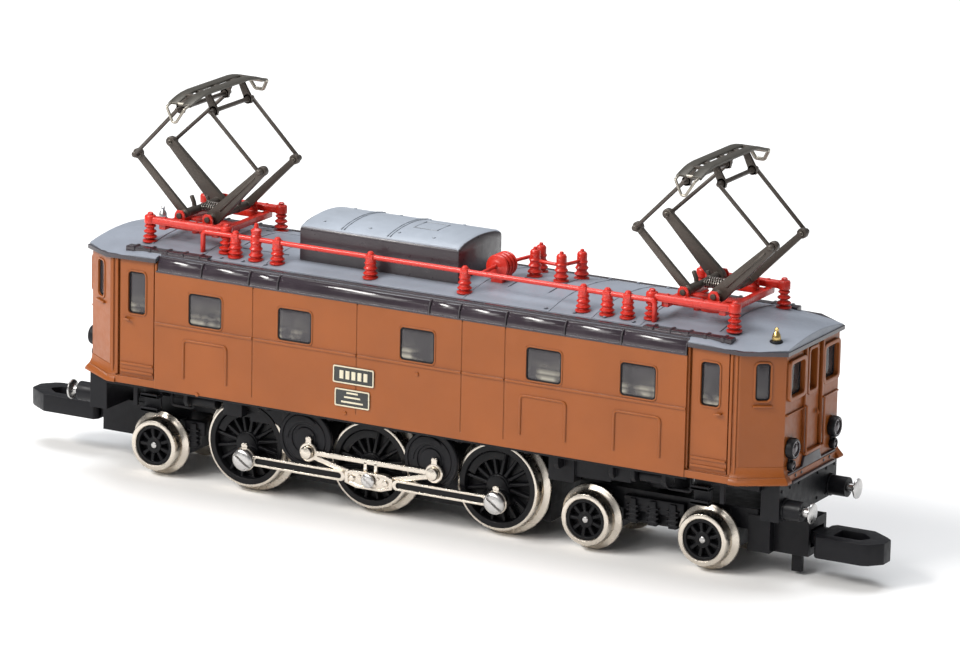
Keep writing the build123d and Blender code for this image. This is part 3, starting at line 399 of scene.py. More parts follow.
def ledge_glints(mat, low, high, tone):
    """Pale streaks low in the clear panes, where the light catches the inner ledge."""
    tree = mat.node_tree
    nodes, links = tree.nodes, tree.links
    shader = nodes["Principled BSDF"]
    painted = shader.inputs["Base Color"].links[0].from_socket
    coords = nodes.new("ShaderNodeTexCoord")
    axes = nodes.new("ShaderNodeSeparateXYZ")
    links.new(coords.outputs["Object"], axes.inputs["Vector"])
    ramp = nodes.new("ShaderNodeValToRGB")
    stops = ramp.color_ramp.elements
    stops[0].position, stops[1].position = 0.0, 1.0
    for place, value in ((0.12, 0.8), (0.26, 0.15), (0.34, 0.6), (0.5, 0.04), (0.62, 0.12)):
        stop = stops.new(place)
        stop.color = (value, value, value, 1.0)
    stops[0].color = stops[-1].color = (0.0, 0.0, 0.0, 1.0)
    level = nodes.new("ShaderNodeMapRange")
    level.inputs["From Min"].default_value = low * MM
    level.inputs["From Max"].default_value = high * MM
    links.new(axes.outputs["Z"], level.inputs["Value"])
    links.new(level.outputs["Result"], ramp.inputs["Fac"])
    ripple = nodes.new("ShaderNodeTexNoise")
    ripple.inputs["Scale"].default_value = 1.0 / (1.6 * MM)
    links.new(coords.outputs["Object"], ripple.inputs["Vector"])
    patch = nodes.new("ShaderNodeMapRange")
    patch.inputs["From Min"].default_value = 0.42
    patch.inputs["From Max"].default_value = 0.6
    links.new(ripple.outputs["Fac"], patch.inputs["Value"])
    factor = nodes.new("ShaderNodeMath")
    factor.operation = "MULTIPLY"
    links.new(ramp.outputs["Color"], factor.inputs[0])
    links.new(patch.outputs["Result"], factor.inputs[1])
    mix = nodes.new("ShaderNodeMix")
    mix.data_type = "RGBA"
    colours = [socket for socket in mix.inputs if socket.type == "RGBA"]
    links.new(factor.outputs["Value"], mix.inputs["Factor"])
    links.new(painted, colours[0])
    colours[1].default_value = (*tone, 1.0)
    links.new([socket for socket in mix.outputs if socket.type == "RGBA"][0], shader.inputs["Base Color"])


# In these finishes the darkening in the hollows is painted shade, and the lighter edges are edge wear with
# painted highlights.
BROWN_PAINT = surface("brown_body_paint", (0.282, 0.074, 0.011), 0.36, vary=0.07, bump_mm=0.006, edge_wear_and_glint=0.35,
                      edge_wear_and_glint_color=(0.55, 0.2, 0.05), edge_mm=0.07, coat=0.04, hollow_shade=0.3, shine=0.4)
ROOF_GREY = surface("roof_grey_paint", (0.25, 0.275, 0.325), 0.42, vary=0.09, bump_mm=0.008, edge_wear_and_glint=0.3,
                    edge_wear_and_glint_color=(0.5, 0.54, 0.6), edge_mm=0.07, hollow_shade=0.5)
# Roof grey made about a third lighter for the lid: painted light on the top of the hood.
HOOD_LID_PAINTED_LIGHT = surface("hood_lid_painted_light_grey", (0.34, 0.375, 0.43), 0.4, vary=0.07, bump_mm=0.01, edge_wear_and_glint=0.3,
                   edge_wear_and_glint_color=(0.55, 0.59, 0.65), edge_mm=0.07, hollow_shade=0.4)
HOOD_WALL = surface("hood_wall_paint", (0.04, 0.032, 0.038), 0.35, vary=0.12, bump_mm=0.006, edge_wear_and_glint=0.3,
                    edge_wear_and_glint_color=(0.25, 0.25, 0.27), coat=0.2)
COVE_BLACK = surface("cove_gloss", (0.03, 0.021, 0.028), 0.2, vary=0.2, bump_mm=0.01, grain_mm=0.3, coat=0.4,
                     edge_wear_and_glint=0.35, edge_wear_and_glint_color=(0.22, 0.2, 0.23))
RED = surface("red_plastic", (0.62, 0.024, 0.012), 0.32, vary=0.08, bump_mm=0.006, edge_wear_and_glint=0.2,
              edge_wear_and_glint_color=(0.85, 0.12, 0.06), coat=0.2, hollow_shade=0.35)
BLACK = surface("black_plastic", (0.008, 0.008, 0.010), 0.42, vary=0.2, bump_mm=0.006, edge_wear_and_glint=0.3,
                edge_wear_and_glint_color=(0.06, 0.06, 0.07), shine=0.22)
WHEEL_BLACK = surface("wheel_plastic", (0.005, 0.005, 0.006), 0.34, vary=0.2, bump_mm=0.004, edge_wear_and_glint=0.25,
                      edge_wear_and_glint_color=(0.05, 0.05, 0.06), shine=0.2)
CAST = surface("cast_chassis", (0.012, 0.012, 0.014), 0.5, metallic=0.3, vary=0.25, bump_mm=0.012,
               grain_mm=0.25,
               edge_wear_and_glint=0.35, edge_wear_and_glint_color=(0.08, 0.08, 0.09), shine=0.22)
NICKEL = surface("nickel_plate", (0.68, 0.62, 0.54), 0.27, metallic=1.0, vary=0.05, bump_mm=0.0012,
                 grain_mm=0.3,
                 rough_spread=0.07, edge_wear_and_glint=0.1, edge_wear_and_glint_color=(0.85, 0.82, 0.78))
STEEL = surface("turned_steel", (0.56, 0.55, 0.54), 0.3, metallic=1.0, vary=0.06, bump_mm=0.003,
                streak=(1.0, 6.0, 1.0))
SPRING = surface("spring_steel", (0.3, 0.275, 0.25), 0.28, metallic=1.0, vary=0.08, bump_mm=0.002)
BRASS = surface("brass", (0.72, 0.52, 0.20), 0.25, metallic=1.0, vary=0.08, bump_mm=0.003)
PANTO = surface("panto_paint", (0.075, 0.062, 0.052), 0.42, metallic=0.35, vary=0.18, bump_mm=0.008, edge_wear_and_glint=0.5,
                edge_wear_and_glint_color=(0.27, 0.24, 0.2))
STRIP = surface("contact_strip", (0.075, 0.068, 0.056), 0.42, metallic=0.5, vary=0.15, bump_mm=0.006,
                edge_wear_and_glint=0.5,
                edge_wear_and_glint_color=(0.42, 0.39, 0.34))
WIRE = surface("horn_wire", (0.36, 0.33, 0.28), 0.35, metallic=0.8, vary=0.1, bump_mm=0.003)
PLATE = surface("plate_enamel", (0.012, 0.014, 0.013), 0.3, vary=0.2, bump_mm=0.002, coat=0.3)
CREAM = surface("plate_border", (0.66, 0.60, 0.45), 0.4, vary=0.06, bump_mm=0.002)
LENS = surface("lamp_lens", (0.075, 0.062, 0.068), 0.08, metallic=0.5, vary=0.04, bump_mm=0.001, coat=0.5)
GLASS = surface("window_plastic", (0.055, 0.05, 0.055), 0.07, vary=0.3, bump_mm=0.006, grain_mm=0.9,
                rough_spread=0.04, alpha=0.8)
ledge_glints(GLASS, 13.4, 15.4, (0.52, 0.49, 0.40))
WHITE = surface("white_nylon", (0.62, 0.60, 0.54), 0.45, vary=0.06, bump_mm=0.004)
BOARD = surface("board_laminate", (0.03, 0.16, 0.07), 0.4, vary=0.2, bump_mm=0.003, coat=0.2)
COPPER = surface("copper_windings", (0.50, 0.2, 0.08), 0.3, metallic=0.9, vary=0.2, bump_mm=0.03,
                 grain_mm=0.12)

KEPT = {
    BROWN_PAINT: ("body_shell",),
    GLASS: ("window_glazing",),
    ROOF_GREY: ("roof",),
    BLACK: ("keeper_plate", "pony_frame", "bogie_frame", "buffer_beams"),
    CAST: ("chassis_frame",),
    STEEL: ("keeper_screws", "motor_stator", "worm_shaft"),
    WHITE: ("brush_plate", "idler_gear", "driver_2_gear"),
    BOARD: ("circuit_board",),
    COPPER: ("armature",),
}
for finish, names in KEPT.items():
    for node_name in names:
        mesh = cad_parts[node_name].data
        mesh.materials.clear()
        mesh.materials.append(finish)


# ---------------------------------------------------------------- body trim

SIDE_Y = 6.75
CAB_Y = 6.45
FRONT_X = 29.75
FRONT_Y = 4.5
CAB_SIDE_X = 26.95
DOOR_X = 24.55
CORNER_TURN = math.degrees(math.atan2(CAB_Y - FRONT_Y, FRONT_X - CAB_SIDE_X))
CORNER_MIDDLE = Vector(((CAB_SIDE_X + FRONT_X) / 2, -(CAB_Y + FRONT_Y) / 2, 0))
CORNER = Matrix.Translation(CORNER_MIDDLE) @ Matrix.Rotation(math.radians(CORNER_TURN), 4, "Z")

# Each window: height of its middle, half its width, half its height.
SIDE_WINDOW = (14.63, 1.5, 1.3)
DOOR_WINDOW = (15.15, 0.8, 1.7)
CORNER_WINDOW = (15.65, 0.58, 1.45)
FRONT_WINDOW = (15.6, 1.15, 1.3)
FRONT_WINDOW_Y = -2.9
WINDOW_X = (-18.27, -10.38, 0.23, 10.95, 18.79)
SIDE_SEAMS = (-14.05, -4.95, 4.05, 7.7)
PEGS = ((0.26, 12.43), (-5.89, 8.48), (-18.92, 7.98))
ROOF_R = 23.4
ROOF_CROWN = 19.15
EAVES_Z = 18.1


def mirrored(side, end):
    """Takes a part drawn on the near side at the +X end to another side and end."""
    return Matrix.Diagonal((end, -side, 1, 1))


def window_frame(shape, cx, cz, half_w, half_h, lip, y, matrix, proud):
    """Slim surround with rounded corners that lines a window opening."""
    outer = round_rect(cx - half_w - lip, cx + half_w + lip, cz - half_h - lip, cz + half_h + lip, 0.42)
    inner = round_rect(cx - half_w + 0.04, cx + half_w - 0.04, cz - half_h + 0.04, cz + half_h - 0.04, 0.3)
    shape.add(ring_plate(outer, inner, -y - proud, -y + 0.45, "y", 0.05), matrix)


def window_plug(panes, seals, cx, cz, half_w, half_h, y, matrix, sink=0.1):
    """Clear plug that fills an opening nearly flush, and the dark seal round it."""
    outline = round_rect(cx - half_w + 0.02, cx + half_w - 0.02, cz - half_h + 0.02, cz + half_h - 0.02, 0.3)
    inner = round_rect(cx - half_w + 0.14, cx + half_w - 0.14, cz - half_h + 0.14, cz + half_h - 0.14, 0.22)
    panes.add(prism(inner, -y + sink + 0.05, -y + sink + 0.25, "y", 0.03), matrix)
    seals.add(ring_plate(outline, inner, -y + sink, -y + 0.55, "y", 0.03), matrix)


def all_plugs():
    """Clear plugs and dark seals of every window."""
    panes, seals = Shape(), Shape()
    for side in SIDES:
        for x in WINDOW_X:
            window_plug(panes, seals, x, *SIDE_WINDOW, SIDE_Y, mirrored(side, 1), 0.0)
        for end in SIDES:
            place = mirrored(side, end)
            window_plug(panes, seals, DOOR_X, *DOOR_WINDOW, CAB_Y, place)
            window_plug(panes, seals, 0, *CORNER_WINDOW, 0, place @ CORNER)
            window_plug(panes, seals, FRONT_WINDOW_Y, *FRONT_WINDOW, FRONT_X, place @ QUARTER, 0.15)
    return panes, seals


def body_trim():
    """Window frames, beads, seams, pegs and doors of the brown body."""
    shape = Shape()
    for side in SIDES:
        flip = mirrored(side, 1)
        for x in WINDOW_X:
            window_frame(shape, x, *SIDE_WINDOW, 0.09, SIDE_Y, flip, 0.05)
        for x in (WINDOW_X[0], WINDOW_X[3], WINDOW_X[4]):
            shape.add(access_panel(x), flip)
        for x in SIDE_SEAMS:
            shape.add(box(x - 0.09, x + 0.09, -SIDE_Y + 0.035, -SIDE_Y + 0.3, 8.0, 17.0, 0.0), flip)
        for x, z in PEGS:
            shape.add(lathe([(0.17, -0.02), (0.15, 0.08), (0, 0.12)], (x, -SIDE_Y, z), "y", -1, 12), flip)
        for end in SIDES:
            place = mirrored(side, end)
            window_frame(shape, DOOR_X, *DOOR_WINDOW, 0.1, CAB_Y, place, 0.07)
            window_frame(shape, 0, *CORNER_WINDOW, 0.12, 0, place @ CORNER, 0.08)
            shape.add(box(-0.72, 0.72, -0.2, 0.1, 13.75, 13.92, 0.05), place @ CORNER)
            shape.add(cab_side_details(), place)
            window_frame(shape, FRONT_WINDOW_Y, *FRONT_WINDOW, 0.26, FRONT_X, place @ QUARTER, 0.24)
    for end in SIDES:
        shape.add(front_door(), mirrored(-1, end))
    return shape


def access_panel(x):
    """Three-sided bead round a panel under a window."""
    half, low, high = 1.9, 9.1, 12.1
    path = [(x + dx, -SIDE_Y, z) for dx, z in ((-half, low), (-half, high), (half, high), (half, low))]
    return tube(rounded_path(path, 0.35), 0.11, 8)


def cab_side_details():
    """Beads, bottom bars and handle of one side door, and the bead at the cab's corner."""
    part = Shape()
    y = -CAB_Y
    for x in (DOOR_X - 1.75, DOOR_X + 1.75):
        part.add(box(x - 0.11, x + 0.11, y - 0.12, y + 0.1, 8.5, 17.75, 0.05))
    for z in (8.75, 9.35):
        part.add(box(DOOR_X - 1.45, DOOR_X + 1.45, y - 0.11, y + 0.1, z, z + 0.22, 0.06))
    part.add(tube(rounded_path([(DOOR_X + 0.98, y + 0.05, 13.05), (DOOR_X + 0.98, y - 0.25, 13.05),
                                (DOOR_X + 0.5, y - 0.27, 13.0)], 0.12), 0.09, 8))
    part.add(box(CAB_SIDE_X - 0.35, CAB_SIDE_X - 0.15, y - 0.1, y + 0.1, 8.5, 17.8, 0.05))
    return part.bm


def front_door():
    """Jambs, side ledges, window frame, sill and handle of the door in the middle of a cab front."""
    part = Shape()
    for side in SIDES:
        part.add(box(FRONT_X - 0.1, FRONT_X + 0.22, side * 1.42 - 0.14, side * 1.42 + 0.14, 9.6, 17.7, 0.05))
        part.add(box(FRONT_X - 0.1, FRONT_X + 0.14, side * 3.0 - 1.4, side * 3.0 + 1.4, 12.98, 13.12, 0.04))
    outer = round_rect(-0.86, 0.86, 13.8, 17.45, 0.3)
    inner = round_rect(-0.6, 0.6, 14.1, 17.2, 0.22)
    part.add(ring_plate(outer, inner, FRONT_X - 0.5, FRONT_X + 0.1, "x", 0.04))
    part.add(box(FRONT_X - 0.1, FRONT_X + 0.3, -1.3, 1.3, 9.35, 9.62, 0.06))
    part.add(tube([(FRONT_X + 0.12, 0.75, 12.4), (FRONT_X + 0.22, 0.75, 12.1)], 0.09, 8))
    return part.bm


piece("body_trim", body_trim(), "chassis", BROWN_PAINT)
plug_panes, plug_seals = all_plugs()
piece("window_plugs", plug_panes, "chassis", GLASS)
piece("window_seals", plug_seals, "chassis", BLACK)


def skirt_flare():
    """Concave flare round the bottom of each cab, from behind the door to the front corner."""
    shape = Shape()
    levels = ((9.2, 0.02), (8.8, 0.05), (8.5, 0.14), (8.25, 0.28), (8.05, 0.38), (7.92, 0.38), (7.86, 0.28))
    for side in SIDES:
        for end in SIDES:
            sections = []
            for z, grow in levels:
                outer = [(26.35, -CAB_Y - grow), (CAB_SIDE_X + 0.3 * grow, -CAB_Y - grow),
                         (FRONT_X + grow * 1.4, -FRONT_Y - 0.7 * grow),
                         (FRONT_X + grow * 1.3, -FRONT_Y + 0.5)]
                inner = [(FRONT_X - 0.3, -FRONT_Y + 0.35), (FRONT_X - 0.3, -FRONT_Y),
                         (CAB_SIDE_X, -CAB_Y + 0.3),
                         (26.35, -CAB_Y + 0.3)]
                sections.append([(x, y, z) for x, y in outer + inner])
            shape.add(loft(sections), mirrored(side, end))
    return shape


piece("skirt_flare", skirt_flare(), "chassis", BROWN_PAINT)


def front_valance():
    """Dark plate and ledge below the brown panel of each cab front."""
    shape = Shape()
    for end in SIDES:
        place = mirrored(-1, end)
        outline = [(-4.1, 7.9), (4.1, 7.9), (4.1, 8.6), (1.6, 8.6), (1.3, 9.3),
                   (-1.3, 9.3), (-1.6, 8.6), (-4.1, 8.6)]
        shape.add(prism(outline, FRONT_X - 0.1, FRONT_X + 0.2, "x", 0.06), place)
        shape.add(box(FRONT_X - 0.1, FRONT_X + 0.45, -3.6, 3.6, 7.75, 7.95, 0.05), place)
        for y in (-2.9, -1.9, 1.9, 2.9):
            rivet = lathe([(0, 0.34), (0.1, 0.32), (0.16, 0.2), (0.16, 0)], (FRONT_X, y, 8.25), "x", 1, 10)
            shape.add(rivet, place)
    return shape


piece("front_valance", front_valance(), "chassis", HOOD_WALL)


# ---------------------------------------------------------------- plates, lamps, whistles

PLATES = ((-6.93, -3.4, 10.8, 12.15), (-6.75, -3.75, 9.0, 10.38))


def plate_fields():
    """Dark fields of the two plates on each side."""
    shape = Shape()
    for side in SIDES:
        flip = mirrored(side, 1)
        for x0, x1, z0, z1 in PLATES:
            outline = round_rect(x0, x1, z0, z1, 0.14, 3)
            shape.add(prism(outline, -SIDE_Y - 0.075, -SIDE_Y + 0.05, "y", 0.02), flip)
    return shape


def plate_marks():
    """Raised border and plain dashes that stand for an inscription."""
    shape = Shape()
    for side in SIDES:
        flip = mirrored(side, 1)
        for x0, x1, z0, z1 in PLATES:
            outer = round_rect(x0, x1, z0, z1, 0.12, 3)
            inner = round_rect(x0 + 0.1, x1 - 0.1, z0 + 0.1, z1 - 0.1, 0.08, 3)
            shape.add(ring_plate(outer, inner, -SIDE_Y - 0.115, -SIDE_Y - 0.03, "y", 0.01), flip)
        front, back = -SIDE_Y - 0.095, -SIDE_Y - 0.04
        for k in range(5):
            x = -6.2 + 0.52 * k
            shape.add(box(x - 0.17, x + 0.17, front, back, 11.15, 11.8, 0.02), flip)
        for z, half in ((10.02, 0.5), (9.68, 0.7), (9.3, 0.95)):
            shape.add(box(-5.25 - half, -5.25 + half, front, back, z, z + 0.14, 0.02), flip)
    return shape


piece("plate_fields", plate_fields(), "chassis", PLATE, ("number_plates",))
piece("plate_borders", plate_marks(), "chassis", CREAM)


LAMP_Y = 3.6
# Each lamp: height, radius, and how far it stands out.
LAMPS = ((10.45, 0.8, 0.55), (9.15, 0.42, 0.4))


def headlamp_shapes():
    """Housings, bright rims and lenses of the lower lamps at both ends."""
    housing, lens = Shape(), Shape()
    for end in SIDES:
        for side in SIDES:
            for z, r, out in LAMPS:
                at = (0, side * LAMP_Y, z)
                x = FRONT_X
                cup = [(r * 0.8, x - 0.1), (r, x + 0.06), (r, x + out * 0.75), (r * 0.93, x + out),
                       (r * 0.78, x + out), (r * 0.74, x + out * 0.6), (0, x + out * 0.6)]
                bulge = [(r * 0.80, x + out * 0.86), (r * 0.80, x + out + 0.03), (r * 0.72, x + out + 0.03),
                         (r * 0.68, x + out * 0.8), (0.66 * r, x + out * 0.7), (r * 0.45, x + out * 0.93),
                         (r * 0.2, x + out * 1.05), (0, x + out * 1.08)]
                housing.add(lathe(cup, at, "x", end, 28))
                lens.add(lathe(bulge, at, "x", end, 28))
            y = side * LAMP_Y
            housing.add(box(FRONT_X - 0.05, FRONT_X + 0.2, y - 0.25, y + 0.25, 9.4, 9.9, 0.05),
                        mirrored(-1, end))
    return housing, lens


lamp_housing, lamp_lens = headlamp_shapes()
piece("lamp_housings", lamp_housing, "chassis", BLACK, ("headlamps",))
piece("lamp_lenses", lamp_lens, "chassis", LENS)


def whistle(x, y):
    """Bell of a whistle with a knob on top."""
    profile = [(0.28, 18.4), (0.34, 18.55), (0.33, 18.75), (0.27, 18.95), (0.17, 19.1), (0.13, 19.18),
               (0.17, 19.26), (0.15, 19.37), (0.06, 19.44), (0, 19.45)]
    return Shape().add(lathe(profile, (x, y, 0), "z", 1, 24))


for label, x, y, finish in (("right", 28.5, -3.8, BRASS), ("left", -28.5, 3.8, STEEL)):
    replaced = ("whistles",) if label == "right" else ()
    piece("whistle_" + label, whistle(x, y), "chassis", finish, replaced)
    base = Shape().add(lathe([(0.5, 18.1), (0.5, 18.4), (0.42, 18.48), (0.0, 18.48)], (x, y, 0), "z", 1, 20))
    piece("whistle_base_" + label, base, "chassis", BLACK)


# ---------------------------------------------------------------- roof

def roof_height(y):
    """Height of the curved roof at this distance from the middle."""
    return ROOF_CROWN - y * y / (2 * ROOF_R)


def edge_band(level, grow, size):
    """Square moulding round the edge of one cab roof."""
    run = [(22.75, -CAB_Y), (CAB_SIDE_X + 0.1, -CAB_Y), (FRONT_X, -FRONT_Y - 0.05), (FRONT_X, FRONT_Y + 0.05),
           (CAB_SIDE_X + 0.1, CAB_Y), (22.75, CAB_Y)]
    sections = []
    for x, y in run:
        stretch = 1 + grow / max(abs(y), 4.0)
        out_x = x + (grow if x > 27.5 else grow * 0.5 if x > 23 else 0.0)
        in_x = out_x - (size if x > 27.5 else 0.0)
        drop = 0.1 * max(0.0, x - 24.3) * 0.3
        y_out = y * stretch
        y_in = y_out - math.copysign(size, y)
        sections.append([(out_x, y_out, level - drop), (out_x, y_out, level + size - drop),
                         (in_x, y_in, level + size - drop), (in_x, y_in, level - drop)])
    return loft(sections)


def roof_trim():
    """Dark strips along the roof edges that are painted shadow of the gutter grooves, with walkways and
    sealing lips along the roof edges.
    """
    shape = Shape()
    for end in SIDES:
        shape.add(edge_band(17.8, 0.27, 0.3), mirrored(-1, end))
    for side in SIDES:
        flip = mirrored(side, 1)
        # Dark strip along the roof edge: painted shadow of the gutter groove there.
        y0, y1 = -6.18, -5.72
        top = roof_height(5.95) + 0.09
        walk = roof_height(5.5)
        shape.add(box(-22.6, 22.6, y0, y1, top - 0.25, top, 0.05), flip)
        shape.add(box(-BODY_HALF, BODY_HALF, -6.33, -6.2, EAVES_Z, 18.33, 0.04), flip)
        for end in SIDES:
            place = mirrored(side, end)
            shape.add(box(18.6, 25.9, -5.95, -5.15, EAVES_Z, walk + 0.13, 0.08), place)
            for k in range(5):
                x = 19.4 + 1.45 * k
                shape.add(box(x - 0.12, x + 0.12, -6.02, -5.08, EAVES_Z, walk + 0.19, 0.05), place)
    return shape


piece("roof_edging_and_gutter_shadow", roof_trim(), "chassis", COVE_BLACK)


def roof_seams():
    """Raised sheet joints and bolt heads of the light roof panels, and a rib over each cab."""
    shape = Shape()
    for x in (-19.4, -14.0, 3.4, 10.6, 14.2, 18.2):
        points = [(x, y, roof_height(y) + 0.01) for y in (-5.5, -4, -2, 0, 2, 4, 5.5)]
        shape.add(tube(points, 0.05, 6))
    for side in SIDES:
        seam_y = side * 2.9
        shape.add(box(-18.6, -13.2, seam_y - 0.06, seam_y + 0.06, 18.8, roof_height(2.9) + 0.07, 0.03))
        for x in (-17.8, -15.9, -13.9, 10.2, 12.6, 15.1, 17.5):
            shape.add(lathe([(0.14, 18.6), (0.14, roof_height(5.2) + 0.1), (0, roof_height(5.2) + 0.14)],
                            (x, side * 5.2, 0), "z", 1, 8))
    for end in SIDES:
        rib = [(end * 24.3, y, roof_height(y) + 0.02) for y in (-4.6, -3, -1, 1, 3, 4.6)]
        shape.add(tube(rib, 0.06, 6))
    return shape


piece("roof_seams", roof_seams(), "chassis", ROOF_GREY)

HOOD_X = (-12.0, 1.85)
HOOD_Y = 3.45
HOOD_CROWN = 22.13


def lid_height(y, crown=HOOD_CROWN):
    """Height of the bowed lid at this distance from the middle."""
    return crown - 0.45 * (y / HOOD_Y) ** 2


def hood_section(x, half, edge, crown, base, radius):
    """Ring of points round the hood at x, with rounded shoulders."""
    ring = [(x, half, base), (x, half, edge - radius)]
    steps = 4
    for k in range(1, steps + 1):
        angle = math.pi / 2 * k / steps * 0.92
        ring.append((x, half - radius * (1 - math.cos(angle)), edge - radius + radius * math.sin(angle)))
    top = 10
    y_start = half - radius
    for k in range(1, top):
        y = y_start * (1 - 2 * k / top)
        ring.append((x, y, crown - (crown - edge) * (y / half) ** 2))
    mirror_side = [(x, -y, z) for (_, y, z) in ring[:steps + 2]]
    ring.extend(reversed(mirror_side))
    return ring


def roof_hood():
    """Walls of the roof hood, and its curved lid with ribs, hatch and bolts."""
    walls, lid = Shape(), Shape()
    x0, x1 = HOOD_X
    stations = ((x0, 0.22, 0.2), (x0 + 0.07, 0.05, 0.05), (x0 + 0.25, 0.0, 0.0),
                (x1 - 0.25, 0.0, 0.0), (x1 - 0.07, 0.05, 0.05), (x1, 0.22, 0.2))
    walls.add(loft([hood_section(x, HOOD_Y - inset, 21.62 - drop, 22.02 - drop, 18.2, 0.35)
                    for x, inset, drop in stations]))
    for side in SIDES:
        flip = mirrored(side, 1)
        walls.add(box(x0 - 0.02, x1 + 0.02, -HOOD_Y - 0.12, -HOOD_Y + 0.1, 18.45, 18.75, 0.05), flip)
    inset = 0.02
    lid_rings = []
    for x, drop in ((x0 + 0.12, 0.12), (x0 + 0.3, 0.0), (x1 - 0.3, 0.0), (x1 - 0.12, 0.12)):
        upper, lower = [], []
        for k in range(21):
            y = (HOOD_Y - 0.08) * (1 - k / 10)
            sag = 0.1 * max(0.0, abs(y) / HOOD_Y - 0.86) / 0.14
            z = lid_height(y, HOOD_CROWN - drop) - sag - inset
            upper.append((x, y, z))
            lower.append((x, y, z - 0.16))
        lid_rings.append(upper + lower[::-1])
    lid.add(loft(lid_rings))
    for x in (-8.35, -4.35):
        for shift in (-0.12, 0.12):
            line = [(x + shift, y, lid_height(y)) for y in (-3.2, -2.2, -1.1, 0, 1.1, 2.2, 3.2)]
            lid.add(tube(line, 0.045, 6))
    hatch = [(-3.4, -1.0, 22.1), (-3.4, 1.0, 22.1), (-1.4, 1.0, 22.1), (-1.4, -1.0, 22.1)]
    lid.add(tube(hatch, 0.045, 6, closed=True))
    for x in (-10.4, -6.4, -3.9, -0.9):
        for y in (-2.4, 2.4):
            z = lid_height(y, 22.1)
            lid.add(lathe([(0.13, z - 0.1), (0.13, z + 0.06), (0.0, z + 0.09)], (x, y, 0), "z", 1, 8))
    return walls, lid


hood_walls, hood_lid = roof_hood()
piece("hood_walls", hood_walls, "chassis", HOOD_WALL, ("roof_hood",))
piece("hood_lid", hood_lid, "chassis", HOOD_LID_PAINTED_LIGHT)


def cove_strips():
    """Glossy bowed panels under the eaves with a raised rib at each joint."""
    panels, ribs = Shape(), Shape()
    seams = (-22.65, -18.7, -14.5, -11.95, 1.17, 3.7, 7.65, 12.6, 17.3, 22.65)
    profile = []
    for k in range(9):
        angle = math.radians(90 * k / 8)
        profile.append((-6.2 - 0.53 * math.cos(angle) ** 0.8, 17.2 + 1.02 * math.sin(angle) ** 1.1))
    for side in SIDES:
        flip = mirrored(side, 1)
        for left, right in zip(seams, seams[1:]):
            rings = []
            for x, pull in ((left + 0.06, 0.08), (left + 0.12, 0.0), (right - 0.12, 0.0),
                            (right - 0.06, 0.08)):
                arc = [(x, y + pull, z) for y, z in profile]
                rings.append(arc + [(x, -5.98, 18.18), (x, -5.98, 17.15)])
            panels.add(loft(rings), flip)
            rib = [(right, y - 0.03, z) for y, z in profile]
            ribs.add(tube(rib, 0.075, 6), flip)
        panels.add(box(-BODY_HALF, BODY_HALF, -6.79, -6.55, 17.12, 17.26, 0.04), flip)
    return panels, ribs


cove_panels, cove_ribs = cove_strips()
piece("cove_grilles", cove_panels, "chassis", COVE_BLACK, ("cove_panels",), smooth=50)
piece("cove_ribs", cove_ribs, "chassis", HOOD_WALL)


# ---------------------------------------------------------------- roof line

BUS_Y = -4.6
BUS_Z = 20.3
ARRESTER_X = -15.1
SPOOL = (4.3, -1.2)
POSTS = ((5.9, 1.1), (8.3, 0.8), (5.3, 3.2), (8.9, 3.0))


def ribbed_post(x, y, low, high, ribs=3, wide=0.57, thin=0.4):
    """Standing insulator with rounded ribs."""
    profile = [(wide * 1.05, low), (wide * 1.05, low + 0.12), (thin, low + 0.2)]
    pitch = (high - low - 0.35) / ribs
    for i in range(ribs):
        base = low + 0.25 + i * pitch
        r = wide - 0.05 * i
        steps = ((thin, 0), (r * 0.9, 0.15), (r, 0.35), (r * 0.85, 0.55), (thin, 0.75))
        profile += [(radius, base + pitch * share) for radius, share in steps]
    profile += [(thin, high), (0, high)]
    return lathe(profile, (x, y, 0), "z", 1, 20)


def roof_line():
    """Red conductor with its standing insulators and the tall arrester."""
    shape = Shape()
    foot = roof_height(BUS_Y) - 0.05
    left, right = -19.8, 18.9
    run = [(left, BUS_Y, foot), (left, BUS_Y, BUS_Z), (right, BUS_Y, BUS_Z), (right, BUS_Y, foot)]
    shape.add(tube(rounded_path(run, 0.35), 0.2, 14))
    for x in (-16.9, -13.2, -5.1, 3.0, 13.0, 15.0, 16.7):
        shape.add(ribbed_post(x, BUS_Y, foot, BUS_Z - 0.1))
        shape.add(box(x - 0.32, x + 0.32, BUS_Y - 0.3, BUS_Y + 0.3, BUS_Z - 0.22, BUS_Z + 0.22, 0.1))
        shape.add(lathe([(0.26, BUS_Z), (0.26, BUS_Z + 0.3), (0.16, BUS_Z + 0.42), (0, BUS_Z + 0.44)],
                        (x, BUS_Y, 0), "z", 1, 14))
    shape.add(ribbed_post(ARRESTER_X, BUS_Y, foot, BUS_Z + 0.7, 4))
    shape.add(lathe([(0.42, BUS_Z + 0.6), (0.42, BUS_Z + 0.75), (0.2, BUS_Z + 0.9), (0.14, BUS_Z + 1.25),
                     (0, BUS_Z + 1.3)], (ARRESTER_X, BUS_Y, 0), "z", 1, 16))
    return shape


